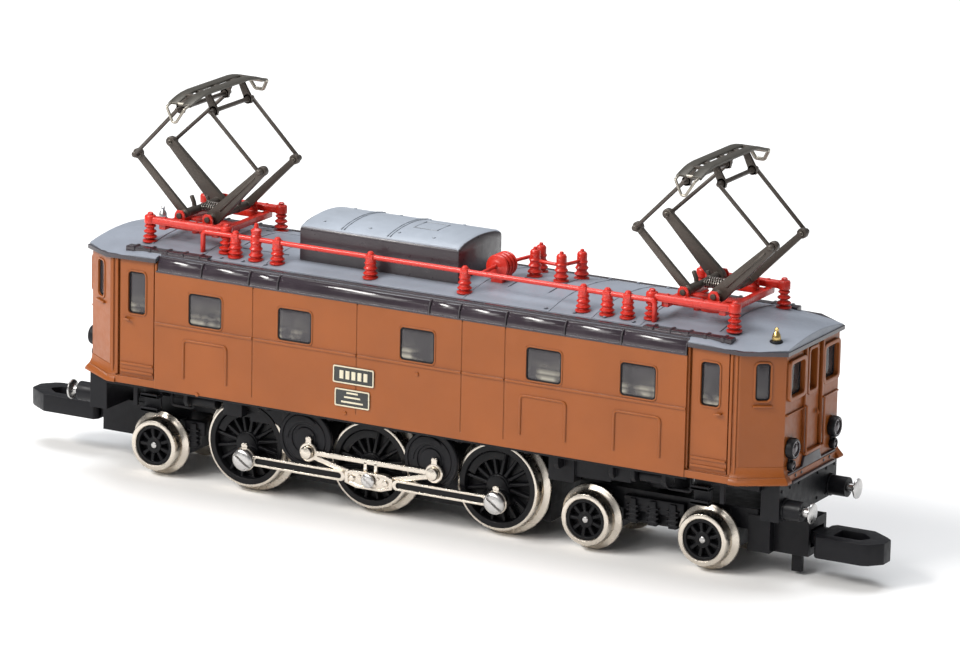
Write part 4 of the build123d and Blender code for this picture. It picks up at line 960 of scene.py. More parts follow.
def switchgear():
    """Spool beside the hood and four posts joined by a thin line."""
    shape = Shape()
    x, y = SPOOL
    z = ROOF_CROWN + 1.1
    shape.add(box(x - 0.5, x + 0.5, y - 0.8, y + 0.8, 18.9, z - 0.7, 0.08))
    profile = [(0, -1.0), (0.4, -1.0), (0.5, -0.95)]
    for level in (-0.7, -0.22, 0.26, 0.72):
        profile += [(0.62, level - 0.2), (0.9, level - 0.12), (0.95, level), (0.9, level + 0.12),
                    (0.62, level + 0.2)]
    profile += [(0.45, 0.97), (0.24, 1.0), (0, 1.0)]
    shape.add(lathe(profile, (x, y, z), "y", 1, 28))
    for px, py in POSTS:
        low = roof_height(py) - 0.03
        shape.add(ribbed_post(px, py, low, low + 1.75))
        cap = ((0.38, 1.6), (0.4, 1.95), (0.3, 2.1), (0.18, 2.12), (0.14, 2.3), (0, 2.34))
        shape.add(lathe([(radius, low + rise) for radius, rise in cap], (px, py, 0), "z", 1, 16))
    line_z = ROOF_CROWN + 1.2
    first, second, third, fourth = [(px, py, line_z) for px, py in (POSTS[2], POSTS[0], POSTS[1], POSTS[3])]
    runs = ([(x, y + 1.0, line_z - 0.1), first], [first, second], [second, third], [third, fourth],
            [(x, y - 0.9, line_z), (x, BUS_Y, BUS_Z)])
    for run in runs:
        shape.add(tube(run, 0.14, 10))
    return shape


piece("roof_line", roof_line(), "chassis", RED, ("roof_busbar",))
piece("switchgear", switchgear(), "chassis", RED)


# ---------------------------------------------------------------- wheels

DRIVER_X = (-15.88, -4.93, 6.02)
JACKSHAFT_X = (-10.405, 0.545)
JACKSHAFT_Z = 5.3
DRIVER_Z = 3.96
CARRY_Z = 2.54
PIN_R = 0.4
CRANKS = {side: Vector((math.cos(math.radians(turn)), math.sin(math.radians(turn))))
          for side, turn in ((-1, -60.0), (1, 30.0))}


def rim(shape, x, z, side, tread, inner):
    """Turned tyre with a rounded flange, coned tread and chamfered face."""
    flange = tread + 0.48
    profile = [(inner, 2.96), (flange - 0.2, 2.95), (flange - 0.05, 3.0), (flange, 3.1),
               (flange - 0.04, 3.22), (flange - 0.2, 3.3), (tread + 0.1, 3.36), (tread, 3.46),
               (tread - 0.03, 4.26), (tread - 0.1, 4.37), (tread - 0.2, 4.4), (inner + 0.06, 4.4),
               (inner, 4.34)]
    shape.add(lathe(profile, (x, 0, z), "y", side, 72, hollow=True))


def spoke(angle, x, z, r0, r1, w0, w1, low, high, side):
    """Spoke with a rounded face, thinner towards the rim."""
    rings = []
    for r, w, drop in ((r0, w0, 0.0), ((r0 + r1) / 2, (w0 + w1) / 2, 0.0), (r1, w1, 0.06)):
        ring = []
        for v, level in ((-w, low), (-w, high - 0.1 - drop), (-0.55 * w, high - drop),
                         (0.55 * w, high - drop),
                         (w, high - 0.1 - drop), (w, low)):
            ring.append((x + r, side * level, z + v))
        rings.append(ring)
    part = loft(rings)
    bmesh.ops.transform(part, matrix=spin((x, 0, z), angle), verts=part.verts)
    return part


def driver_centre(x):
    """Spoked centres of one driven axle with hubs, crank bosses and counterweights."""
    shape = Shape()
    spokes = 16
    for side in SIDES:
        at = (x, 0, DRIVER_Z)
        shape.add(rod(3.04, 3.1, 3.7, at, "y", side, 48))
        shape.add(lathe([(2.72, 3.6), (3.06, 3.6), (3.06, 4.38), (3.22, 4.4), (3.2, 4.45), (2.8, 4.42),
                         (2.72, 4.3)],
                        at, "y", side, 64, hollow=True))
        shape.add(lathe([(0, 3.6), (1.05, 3.6), (1.02, 4.2), (0.92, 4.34), (0.6, 4.38), (0.45, 4.32),
                         (0, 4.32)],
                        at, "y", side, 32))
        for i in range(spokes):
            shape.add(spoke(360 * (i + 0.5) / spokes, x, DRIVER_Z, 0.9, 2.75, 0.17, 0.13, 3.65, 4.22, side))
        arm = CRANKS[side]
        pin = (x + arm.x, DRIVER_Z + arm.y)
        shape.add(slab(capsule((x, DRIVER_Z), pin, 0.85, 0.78, 14), side, 3.7, 4.5, 0.08))
        shape.add(lathe([(0.79, 4.3), (0.79, 4.74), (0.72, 4.84), (PIN_R, 4.85)], (pin[0], 0, pin[1]), "y",
                        side, 28))
        weight = []
        back = math.atan2(-arm.y, -arm.x)
        for radius, order in ((2.7, range(13)), (2.1, range(12, -1, -1))):
            for k in order:
                turn = back + math.radians(-42 + 7 * k)
                weight.append((x + radius * math.cos(turn), DRIVER_Z + radius * math.sin(turn)))
        shape.add(slab(weight, side, 3.7, 4.28, 0.05))
    return shape


def screw_head(shape, x, z, side, low, r, rise):
    """Domed head with a real slot across it."""
    shape.add(rod(r, low - 0.02, low + 0.08, (x, 0, z), "y", side, 28))
    gap = 0.09
    steps = 14
    for half in SIDES:
        rings = []
        for size, level in ((1.0, 0.06), (0.985, rise * 0.45), (0.88, rise * 0.8), (0.62, rise)):
            ring = []
            for k in range(steps + 1):
                turn = math.pi * k / steps
                u = r * size * math.cos(turn)
                v = gap + (r * size - gap) * math.sin(turn)
                ring.append((x + u, side * (low + level), z + half * v))
            rings.append(ring)
        shape.add(loft(rings), spin((x, 0, z), 35))


def crank_screws(x, outer):
    """Axle, crank pins and screws of one driven wheelset."""
    shape = Shape().add(rod(0.6, -4.2, 4.2, (x, 0, DRIVER_Z), "y", 1, 24))
    for side in SIDES:
        arm = CRANKS[side]
        px, pz = x + arm.x, DRIVER_Z + arm.y
        shape.add(rod(PIN_R, 4.3, 5.66, (px, 0, pz), "y", side, 24))
        screw_head(shape, px, pz, side, 5.64, 0.88 if outer else 0.55, 0.42 if outer else 0.2)
    return shape


for number, x in enumerate(DRIVER_X, 1):
    body = f"driver_{number}"
    tyres = Shape()
    for side in SIDES:
        rim(tyres, x, DRIVER_Z, side, 3.48, 3.06)
    piece(body + "_tyre_pair", tyres, body, NICKEL, (body + "_tyres",))
    piece(body + "_spokes", driver_centre(x), body, WHEEL_BLACK, (body + "_centres",))
    piece(body + "_screws", crank_screws(x, number != 2), body, STEEL, (body + "_axle",))


def jackshaft_discs(x):
    """Shaft and discs of one jackshaft, and the crank pins with their heads."""
    discs, pins = Shape(), Shape()
    at = (x, 0, JACKSHAFT_Z)
    discs.add(rod(0.6, -4.6, 4.6, at, "y", 1, 24))
    for side in SIDES:
        arm = CRANKS[side]
        px, pz = x + arm.x, JACKSHAFT_Z + arm.y
        profile = [(0, 4.6), (2.3, 4.6), (2.3, 4.82), (2.22, 4.9), (2.02, 4.9), (1.96, 4.8), (1.78, 4.8),
                   (1.72, 4.88),
                   (1.2, 4.88), (1.14, 4.78), (0.95, 4.78), (0.88, 4.9), (0, 4.9)]
        discs.add(lathe(profile, at, "y", side, 56))
        crescent = []
        back = math.atan2(-arm.y, -arm.x)
        for radius, order in ((1.95, range(17)), (1.3, range(16, -1, -1))):
            for k in order:
                turn = back + math.radians(-64 + 8 * k)
                inset = 0.3 * abs(k - 8) / 8 if radius > 1.5 else -0.18 * abs(k - 8) / 8
                reach = radius - inset
                crescent.append((x + reach * math.cos(turn), JACKSHAFT_Z + reach * math.sin(turn)))
        discs.add(slab(crescent, side, 4.8, 4.97))
        discs.add(lathe([(0, 4.8), (0.7, 4.8), (0.66, 4.98), (0, 4.98)], (px, 0, pz), "y", side, 24))
        pins.add(rod(PIN_R, 4.9, 5.62, (px, 0, pz), "y", side, 24))
        pins.add(lathe([(0, 5.4), (0.52, 5.4), (0.52, 5.56), (0.44, 5.68), (0.2, 5.74), (0, 5.75)],
                       (px, 0, pz), "y", side, 24))
    return discs, pins


for number, (label, x) in enumerate(zip("ab", JACKSHAFT_X), 1):
    discs, pins = jackshaft_discs(x)
    body = "jackshaft_" + label
    piece(f"crank_discs_{label}", discs, body, BLACK, (f"jackshaft_{number}",))
    piece(f"crank_pins_{label}", pins, body, NICKEL)


# ---------------------------------------------------------------- rods

ROD_Y = (5.32, 5.6)
LINK_Y = (5.05, 5.3)
BLOCK_HALF = 2.1
ROD_HALF = 0.4
FLUTE_HALF = 0.23


def crank_points(side):
    """The five crank pins on one side, from the left end to the right."""
    arm = CRANKS[side]
    centres = ((DRIVER_X[0], DRIVER_Z), (JACKSHAFT_X[0], JACKSHAFT_Z), (DRIVER_X[1], DRIVER_Z),
               (JACKSHAFT_X[1], JACKSHAFT_Z), (DRIVER_X[2], DRIVER_Z))
    return [(x + arm.x, z + arm.y) for x, z in centres]


def fluted_bar(shape, flute_shade, a, b, side, ends):
    """Bar with a long rounded recess along its face, with a black strip of painted shade in the bottom of the
    recess.
    """
    y0, y1 = ROD_Y
    shape.add(slab(capsule(a, b, ROD_HALF, ROD_HALF, 12), side, y0, y1 - 0.14, 0.03))
    inner_a = (a[0] + (b[0] - a[0]) * ends[0], a[1])
    inner_b = (a[0] + (b[0] - a[0]) * ends[1], b[1])
    levels = sorted((side * (y1 - 0.16), side * y1))
    # Black strip at the bottom of the flute: painted shade in the recess.
    floor = capsule(inner_a, inner_b, FLUTE_HALF + 0.02, FLUTE_HALF + 0.02, 12)
    flute_shade.add(slab(floor, side, y1 - 0.16, y1 - 0.1, 0.01))
    recess = capsule(inner_a, inner_b, FLUTE_HALF, FLUTE_HALF, 12)
    shape.add(ring_plate(capsule(a, b, ROD_HALF, ROD_HALF, 12), recess, *levels, "y", 0.025))


def oil_cup(pin, stations):
    """Outline of the cup above a pin, as (half width, height) from its foot to its top."""
    right = [(pin[0] + half, pin[1] + rise) for half, rise in stations]
    left = [(pin[0] - half, pin[1] + rise) for half, rise in stations]
    return left[:1] + right + left[:0:-1]


def outer_rods(side):
    """Two fluted rods with their eyes and cups, and black strips of painted shade in the bottoms of the
    flutes.
    """
    shape, flute_shade = Shape(), Shape()
    points = crank_points(side)
    for pin, inward in ((points[0], 1), (points[4], -1)):
        joint = (points[2][0] - inward * BLOCK_HALF, pin[1])
        start = (pin[0] + inward * 0.45, pin[1])
        fluted_bar(shape, flute_shade, start, (joint[0] - inward * 0.35, joint[1]), side, (0.09, 0.98))
        shape.add(lathe([(PIN_R + 0.06, 5.32), (0.9, 5.32), (0.93, 5.36), (0.93, 5.54), (0.86, 5.6),
                         (PIN_R + 0.06, 5.6)],
                        (pin[0], 0, pin[1]), "y", side, 36, hollow=True))
        cup = oil_cup(pin, ((0.3, 0.6), (0.24, 1.0), (0.3, 1.08), (0.2, 1.25)))
        shape.add(slab(cup, side, 5.34, 5.58, 0.05))
    return shape, flute_shade


def middle_link(side):
    """Thin link between the jackshafts, with the framed block at the middle driver's pin."""
    shape = Shape()
    left, mid, right = crank_points(side)[1:4]
    y0, y1 = LINK_Y
    bar = capsule((left[0] + 0.5, left[1]), (right[0] - 0.5, right[1]), 0.19, 0.19, 8)
    shape.add(slab(bar, side, y0, y1, 0.05))
    low, high = mid[1] - 0.72, mid[1] + 0.62
    half = BLOCK_HALF - 0.03
    plate = [(mid[0] - half, mid[1] + 0.42), (mid[0] - half, mid[1] - 0.42), (mid[0] - 1.1, low),
             (mid[0] + 1.1, low),
             (mid[0] + half, mid[1] - 0.42), (mid[0] + half, mid[1] + 0.42), (mid[0] + 1.4, high),
             (mid[0] - 1.4, high)]
    inner = [(mid[0] + (u - mid[0]) * 0.86, mid[1] - 0.05 + (v - mid[1] + 0.05) * 0.74) for u, v in plate]
    shape.add(slab(plate, side, y0, 5.5, 0.04))
    shape.add(ring_plate(plate, inner, *sorted((side * 5.48, side * 5.6)), "y", 0.03))
    for dx, r, out in ((-1.45, 0.26, 5.68), (0.0, 0.4, 5.66), (1.45, 0.26, 5.68)):
        centre = (mid[0] + dx, 0, mid[1] - 0.02)
        shape.add(lathe([(0, 5.4), (r, 5.4), (r, out - 0.08), (r * 0.75, out), (0, out + 0.02)], centre,
                        "y", side, 20))
    for dx in (-0.8, -0.55, 0.55, 0.8):
        centre = (mid[0] + dx, 0, mid[1] + (0.22 if abs(dx) > 0.7 else -0.3))
        shape.add(lathe([(0, 5.4), (0.14, 5.4), (0.13, 5.6), (0, 5.64)], centre, "y", side, 12))
    for pin, inward in ((left, 1), (right, -1)):
        foot = (mid[0] - inward * 1.7, mid[1] + 0.25)
        top = (pin[0] + inward * 0.35, pin[1] - 0.3)
        shape.add(slab(capsule(top, foot, 0.19, 0.19, 8), side, y0, y1, 0.05))
        shape.add(lathe([(PIN_R + 0.06, 5.05), (0.74, 5.05), (0.76, 5.1), (0.76, 5.26), (0.7, 5.31),
                         (PIN_R + 0.06, 5.31)],
                        (pin[0], 0, pin[1]), "y", side, 32, hollow=True))
        cup = oil_cup(pin, ((0.28, 0.58), (0.22, 0.95), (0.28, 1.02), (0.18, 1.2)))
        shape.add(slab(cup, side, 5.06, 5.29, 0.05))
    for dx in (-0.45, 0.45):
        x = mid[0] + dx
        foot = high - 0.1
        stem = [(x - 0.14, foot), (x + 0.14, foot), (x + 0.14, left[1]), (x - 0.14, left[1])]
        shape.add(slab(stem, side, y0, y1))
        shape.add(lathe([(0, high + 0.05), (0.2, high + 0.05), (0.2, high + 0.2), (0, high + 0.22)],
                        (x, side * 5.2, 0), "z", 1, 12))
    return shape


for label, side in (("near", -1), ("far", 1)):
    body = "rods_" + label
    rods, flute_shade = outer_rods(side)
    piece("outer_rods_" + label, rods, body, NICKEL, ("side_rods_" + label,))
    # Black strips in the flutes: painted shade.
    piece("rod_flute_shade_" + label, flute_shade, body, WHEEL_BLACK)
    piece("middle_link_" + label, middle_link(side), body, NICKEL, ("centre_link_" + label,))


# ---------------------------------------------------------------- carrying wheels

def carrying_set(x):
    """Rims, spoked faces and axle of one carrying wheelset."""
    rims, faces, ends = Shape(), Shape(), Shape()
    at = (x, 0, CARRY_Z)
    ends.add(lathe([(0, -4.36), (0.14, -4.37), (0.23, -4.32), (0.26, -4.22), (0.26, 4.22), (0.23, 4.32),
                    (0.14, 4.37),
                    (0, 4.36)], at, "y", 1, 28))
    for side in SIDES:
        rim(rims, x, CARRY_Z, side, 2.06, 1.6)
        rims.add(collar(0.26, 1.65, 2.96, 3.4, at, "y", side, 36))
        faces.add(collar(0.26, 1.59, 3.4, 3.72, at, "y", side, 36))
        faces.add(lathe([(1.3, 3.7), (1.6, 3.7), (1.6, 4.26), (1.55, 4.31), (1.36, 4.3), (1.3, 4.2)],
                        at, "y", side, 48, hollow=True))
        faces.add(lathe([(0.26, 3.7), (0.66, 3.7), (0.66, 4.2), (0.6, 4.29), (0.3, 4.3), (0.26, 4.26)],
                        at, "y", side, 28, hollow=True))
        for i in range(9):
            faces.add(spoke(40 * (i + 0.5), x, CARRY_Z, 0.6, 1.35, 0.15, 0.19, 3.68, 4.22, side))
    return rims, faces, ends


for label, body, x in (("pony", "pony_wheelset", PONY_X), ("bogie_1", "bogie_wheelset_1", BOGIE_X[0]),
                       ("bogie_2", "bogie_wheelset_2", BOGIE_X[1])):
    rims, faces, ends = carrying_set(x)
    piece(label + "_rims", rims, body, NICKEL, (label + "_wheels",))
    piece(label + "_hole_discs", faces, body, WHEEL_BLACK, (label + "_wheel_faces",))
    piece(label + "_axle", ends, body, STEEL)


# ---------------------------------------------------------------- couplers, buffers, steps

LEFT_RISE = 0.55
BUFFER_Y = 3.9
BUFFER_Z = 5.85


def hook_coupler(low, high, tip):
    """Flat broad hook with a pocket in it, at the +X end, its head between two heights."""
    shape = Shape()
    outer = [(31.5, -2.2), (tip - 1.4, -2.2), (tip - 0.9, -1.98), (tip - 0.08, -1.05), (tip - 0.08, 0.15),
             (tip - 0.5, 0.55), (tip - 2.0, 1.58), (31.5, 1.58), (31.2, 1.2), (31.2, -1.8)]
    inner = [(32.5, -1.2), (tip - 2.2, -1.2), (tip - 1.95, -1.1), (tip - 1.55, -0.5), (tip - 1.55, -0.3),
             (tip - 1.8, 0.0), (tip - 2.5, 0.58), (32.5, 0.58), (32.4, 0.4), (32.4, -1.0)]
    shape.add(ring_plate(outer, inner, low, high, "z", 0.09))
    shape.add(prism([(32.3, -1.3), (tip - 1.4, -1.3), (tip - 1.4, 0.7), (32.3, 0.7)], low + 0.03,
                    low + 0.43, "z"))
    shank = [(31.6, -0.9), (30.9, -0.85), (28.8, -0.7), (28.6, -0.4),
             (28.6, 0.4), (28.8, 0.7), (30.9, 0.85), (31.6, 0.9)]
    shape.add(prism(shank, 2.47, 3.5, "z", 0.07))
    shape.add(box(31.2, 32.0, -1.4, 1.2, 2.4, 3.4, 0.1))
    return shape


piece("hook_right", hook_coupler(1.92, 3.58, 36.6), "coupler_r", BLACK, ("coupler_right",))
left_hook = hook_coupler(2.32, 3.73, 38.1)
to_left = Matrix.Translation((0, 0, LEFT_RISE)) @ Matrix.Rotation(math.pi, 4, "Z")
bmesh.ops.transform(left_hook.bm, matrix=to_left, verts=left_hook.bm.verts)
piece("hook_left", left_hook, "coupler_l", BLACK, ("coupler_left",))


def buffer_set():
    """Stepped sleeves, and bright heads with their stems."""
    sleeves, heads = Shape(), Shape()
    for end in SIDES:
        for side in SIDES:
            at = (0, side * BUFFER_Y, BUFFER_Z)
            sleeves.add(lathe([(0, 29.6), (0.85, 29.6), (0.85, 29.85), (0.62, 29.92), (0.58, 30.4),
                               (0.62, 30.45), (0.62, 30.6), (0.55, 30.65), (0.52, 31.15), (0.45, 31.2),
                               (0.4, 31.15), (0, 31.15)], at, "x", end, 28))
            heads.add(lathe([(0, 30.3), (0.33, 30.3), (0.33, 31.7), (0.45, 31.82), (0.74, 31.86),
                             (0.78, 31.92),
                             (0.76, 32.0), (0.55, 32.07), (0, 32.1)], at, "x", end, 36))
    return sleeves, heads


sleeves, heads = buffer_set()
piece("buffer_heads", heads, "chassis", STEEL, ("buffers",))
piece("buffer_sleeves", sleeves, "chassis", BLACK)


def underframe_details():
    """Rivets, brackets, steps and pipes below the body edge."""
    shape = Shape()
    for side in SIDES:
        flip = mirrored(side, 1)
        shape.add(box(-BODY_HALF, BODY_HALF, -6.2, -5.6, 7.55, 7.86, 0.05), flip)
        for x in (-20.6, -13.2, -7.7, -2.1, 3.4, 9.2, 11.6, 16.2, 18.0, 20.6):
            bracket = [(-5.7, 7.8), (-5.7, 6.9), (-5.45, 6.5), (-4.2, 6.5), (-4.2, 7.8)]
            if -19 < x < 9.5:
                bracket = [(-6.1, 7.8), (-6.1, 7.5), (-5.7, 7.3), (-5.2, 7.3), (-5.2, 7.8)]
            shape.add(prism(bracket, x - 0.18, x + 0.18, "x", 0.05), flip)
        for end in SIDES:
            place = mirrored(side, end)
            shape.add(box(10.4, 12.6, -4.6, -3.4, 5.3, 7.6, 0.1), place)
            shape.add(box(12.4, 15.6, -4.4, -3.7, 5.8, 7.7, 0.1), place)
            shape.add(box(15.9, 17.6, -5.1, -3.6, 6.2, 7.9, 0.12), place)
            shape.add(rod(0.55, 0.0, 2.4, (18.3, -4.6, 6.95), "x", 1, 20), place)
            pipe = [(20.4, -4.7, 7.6), (20.4, -4.7, 6.2), (22.4, -4.7, 6.2), (22.4, -4.7, 7.6)]
            shape.add(tube(rounded_path(pipe, 0.3), 0.12, 8), place)
            for x in (23.05, 24.3):
                shape.add(tube([(x, -5.3, 7.8), (x, -5.3, 5.75)], 0.09, 8), place)
            for z in (5.72, 6.82):
                tread = [(-6.0, z), (-6.0, z + 0.34), (-5.86, z + 0.34), (-5.8, z + 0.24),
                         (-5.1, z + 0.24), (-5.1, z)]
                shape.add(prism(tread, 22.95, 24.45, "x", 0.03), place)
                for k in range(5):
                    x = 23.2 + 0.25 * k
                    shape.add(box(x - 0.05, x + 0.05, -5.78, -5.3, z + 0.22, z + 0.3, 0.02), place)
    for end in SIDES:
        place = mirrored(-1, end)
        for y in (-4.5, -3.1, -1.6, 1.6, 3.1, 4.5):
            for z in (5.35, 7.3):
                shape.add(lathe([(0.13, 29.66), (0.12, 29.76), (0, 29.8)], (0, y, z), "x", 1, 10), place)
    return shape


piece("underframe_details", underframe_details(), "chassis", BLACK)


def truck_sides(wheels_x, span, count):
    """Axle boxes at the wheels of a truck, and a side plate with springs between them."""
    shape = Shape()
    for side in SIDES:
        flip = mirrored(side, 1)
        for x in wheels_x:
            shape.add(box(x - 0.8, x + 0.8, -2.85, -2.5, 1.7, 3.5, 0.12), flip)
        low, high = span
        shape.add(box(low, high, -2.75, -2.1, 3.4, 4.5, 0.12), flip)
        for k in range(count):
            x = low + (high - low) * (k + 0.5) / count
            hanger = [(x - 0.35, 2.5), (x + 0.35, 2.5), (x + 0.25, 4.4), (x - 0.25, 4.4)]
            shape.add(prism(hanger, -3.0, -2.2, "y", 0.08), flip)
            for level in range(4):
                z = 2.7 + 0.36 * level
                shape.add(box(x - 0.5, x + 0.5, -3.05, -2.6, z, z + 0.14, 0.04), flip)
    return shape


piece("bogie_sides", truck_sides(BOGIE_X, (15.9, 20.9), 3), "bogie", BLACK)
piece("pony_sides", truck_sides((PONY_X,), (-22.4, -20.6), 1), "pony", BLACK)


# ---------------------------------------------------------------- pantographs

PIVOT_DX = 1.25
PIVOT_Z = 20.9
KNEE_DX = 5.55
KNEE_Z = 25.1
HEAD_Z = 29.3
STRIP_TOP = HEAD_Z + 1.55
ARM_Y = 2.5
TOP_Y = {-1: 3.85, 1: 3.1}
PANTO_X = {"left": -21.4, "right": 21.85}
BASE_Y = 4.15
BASE_DX = 3.4
CROSS_Z = (19.78, 20.28)
STRIP_HALF = 0.4


def panto_base(cx):
    """Two long bars on four insulators, the cross members, the arms' lugs and the foot."""
    shape = Shape()
    foot = roof_height(BASE_Y) - 0.04
    for side in SIDES:
        y = side * BASE_Y
        profile = [(y - 0.3, 20.22), (y - 0.3, 20.66), (y - 0.22, 20.75), (y + 0.22, 20.75), (y + 0.3, 20.66),
                   (y + 0.3, 20.22)]
        shape.add(prism(profile, cx - BASE_DX - 0.25, cx + BASE_DX + 0.25, "x", 0.03))
        inset = BASE_DX - 0.5
        shape.add(box(cx - BASE_DX + 0.5, cx + inset, y + side * 0.26, y + side * 0.34, 20.34, 20.6, 0.02))
        for dx in (-BASE_DX, BASE_DX):
            shape.add(ribbed_post(cx + dx, y, foot, 20.35, 3, 0.56, 0.3))
            shape.add(lathe([(0, 20.2), (0.46, 20.2), (0.46, 20.72), (0.4, 20.82), (0.24, 20.86),
                             (0.24, 20.98),
                             (0.16, 21.05), (0, 21.06)], (cx + dx, y, 0), "z", 1, 24))
        for dx in (-2.1, -0.7, 0.7, 2.1):
            shape.add(lathe([(0, 20.7), (0.13, 20.7), (0.12, 20.82), (0, 20.85)], (cx + dx, y, 0), "z", 1,
                            10))
    for dx in (-PIVOT_DX - 1.1, PIVOT_DX + 1.1):
        shape.add(box(cx + dx - 0.28, cx + dx + 0.28, -BASE_Y, BASE_Y, CROSS_Z[0], CROSS_Z[1], 0.06))
    for side in SIDES:
        y = side * (ARM_Y + 0.75)
        shape.add(box(cx - 2.4, cx + 2.4, y - 0.17, y + 0.17, 19.8, CROSS_Z[1], 0.05))
        for dx in (-PIVOT_DX, PIVOT_DX):
            x = cx + dx
            lug = [(x - 0.5, 20.0), (x + 0.5, 20.0), (x + 0.44, PIVOT_Z + 0.1), (x + 0.25, PIVOT_Z + 0.4),
                   (x - 0.25, PIVOT_Z + 0.4), (x - 0.44, PIVOT_Z + 0.1)]
            near, far = (y + 0.03, y + 0.17) if side > 0 else (y - 0.17, y - 0.03)
            shape.add(prism(lug, near, far, "y", 0.03))
    shape.add(box(cx - 2.4, cx + 2.4, -0.45, 0.45, CROSS_Z[0], 20.0, 0.06))
    shape.add(lathe([(0, 18.7), (1.5, 18.7), (1.5, 19.3), (1.35, 19.6), (0.9, 19.82), (0.6, 19.84),
                     (0, 19.84)],
                    (cx, 0, 0), "z", 1, 32))
    for dx in (-1.1, 1.1):
        for y in (-1.2, 1.2):
            shape.add(lathe([(0, 18.8), (0.3, 18.8), (0.3, 19.75), (0, 19.8)], (cx + dx, y, 0), "z", 1, 14))
    return shape


def lower_arms(cx, end):
    """Shaft with two tapered arms at one end of a pantograph, and the bolts at their knees."""
    shape, bolts = Shape(), Shape()
    px, kx = cx + end * PIVOT_DX, cx + end * KNEE_DX
    shape.add(lathe([(0, -3.55), (0.22, -3.55), (0.22, -2.7), (0.34, -2.68), (0.34, -0.95), (0.28, -0.9),
                     (0.28, 0.9), (0.34, 0.95), (0.34, 2.68), (0.22, 2.7), (0.22, 3.55), (0, 3.55)],
                    (px, 0, PIVOT_Z), "y", 1, 24))
    for side in SIDES:
        broad = side * end < 0
        foot, tip = (0.6, 0.33) if broad else (0.34, 0.24)
        inner_y, outer_y = side * (ARM_Y - (0.33 if broad else 0.2)), side * (ARM_Y + 0.18)
        outline = capsule((px, PIVOT_Z), (kx, KNEE_Z), foot, tip, 12)
        shape.add(prism(outline, *sorted((inner_y, outer_y)), "y", 0.06))
        if broad:
            a = Vector((px, PIVOT_Z)).lerp(Vector((kx, KNEE_Z)), 0.16)
            b = Vector((px, PIVOT_Z)).lerp(Vector((kx, KNEE_Z)), 0.86)
            line = [(p.x, outer_y + side * 0.01, p.y) for p in (a, b)]
            shape.add(tube(line, 0.09, 8))
        knee = (kx, 0, KNEE_Z)
        shape.add(lathe([(0.2, ARM_Y - 0.3), (0.38, ARM_Y - 0.3), (0.4, ARM_Y - 0.2), (0.4, ARM_Y + 0.12),
                         (0.34, ARM_Y + 0.19), (0.2, ARM_Y + 0.19)], knee, "y", side, 24, hollow=True))
        bolts.add(rod(0.17, ARM_Y - 0.42, ARM_Y - 0.28, knee, "y", side, 12))
        shape.add(lathe([(0, ARM_Y + 0.1), (0.26, ARM_Y + 0.1), (0.26, ARM_Y + 0.26), (0, ARM_Y + 0.28)],
                        (px, 0, PIVOT_Z), "y", side, 14))
    finger = [(px, -1.1, PIVOT_Z), (px + end * 0.1, -1.1, PIVOT_Z + 0.6),
              (px + end * 0.3, -1.1, PIVOT_Z + 1.05)]
    shape.add(tube(finger, 0.18, 10))
    shape.add(tube([(px, 1.1, PIVOT_Z), (px + end * 0.22, 1.1, PIVOT_Z + 0.62)], 0.16, 10))
    return shape, bolts


def upper_wires(cx, end):
    """Pair of upper wires with their knee pins, and the rod between their tops."""
    shape = Shape()
    kx, tx = cx + end * KNEE_DX, cx + end * PIVOT_DX
    top_y = TOP_Y[end]
    knee_y = ARM_Y + 0.5
    shape.add(tube([(tx, -top_y - 0.1, HEAD_Z), (tx, 0, HEAD_Z), (tx, top_y + 0.1, HEAD_Z)], 0.18, 12))
    for side in SIDES:
        shape.add(tube([(kx, side * knee_y, KNEE_Z), (tx, side * top_y, HEAD_Z)], 0.155, 12))
        shape.add(lathe([(0, ARM_Y - 0.58), (0.13, ARM_Y - 0.58), (0.13, knee_y - 0.2), (0.23, knee_y - 0.2),
                         (0.24, knee_y + 0.1), (0.17, knee_y + 0.18), (0.12, knee_y + 0.2),
                         (0, knee_y + 0.2)], (kx, 0, KNEE_Z), "y", side, 18))
    return shape


def contact_strips(cx):
    """Two bowed strips with rounded edges and a hollow underside."""
    shape = Shape()
    for dx in (-0.62, 0.62):
        rings = []
        for y in (-5.6, -5.3, -4.9, -4.4, -3.8, -3.0, -1.5, 0, 1.5, 3.0, 3.8, 4.4, 4.9, 5.3, 5.6):
            lift = STRIP_TOP - 0.55 * max(0.0, (abs(y) - 3.0) / 2.6) ** 1.8
            x = cx + dx
            section = ((-1, 0.24), (-1, 0.08), (-0.75, 0.02), (0, 0.0), (0.75, 0.02), (1, 0.08),
                       (1, 0.24), (0.8, 0.24), (0.7, 0.13), (-0.7, 0.13), (-0.8, 0.24))
            rings.append([(x + STRIP_HALF * share, y, lift - below) for share, below in section])
        shape.add(loft(rings))
    return shape


def head_gear(cx):
    """Cross ties, forked brackets and pivot collars of the collector head."""
    shape = Shape()
    for y in (-4.0, -2.4, 0.0, 2.4, 4.0):
        shape.add(box(cx - 0.65, cx + 0.65, y - 0.25, y + 0.25, STRIP_TOP - 0.36, STRIP_TOP - 0.14, 0.04))
    for end in SIDES:
        tx = cx + end * PIVOT_DX
        for side in SIDES:
            y = side * (TOP_Y[end] - 0.55)
            web = [(tx - 0.32, HEAD_Z - 0.32), (tx + 0.32, HEAD_Z - 0.32), (tx + 0.36, HEAD_Z + 0.1),
                   (cx + end * 0.6 + 0.26, STRIP_TOP - 0.2), (cx + end * 0.6 - 0.26, STRIP_TOP - 0.2),
                   (tx - 0.36, HEAD_Z + 0.1)]
            for shift in (-0.13, 0.05):
                shape.add(prism(web, y + shift, y + shift + 0.08, "y", 0.02))
            shape.add(collar(0.24, 0.38, -0.13, 0.13, (tx, y, HEAD_Z), "y", 1, 18))
    return shape


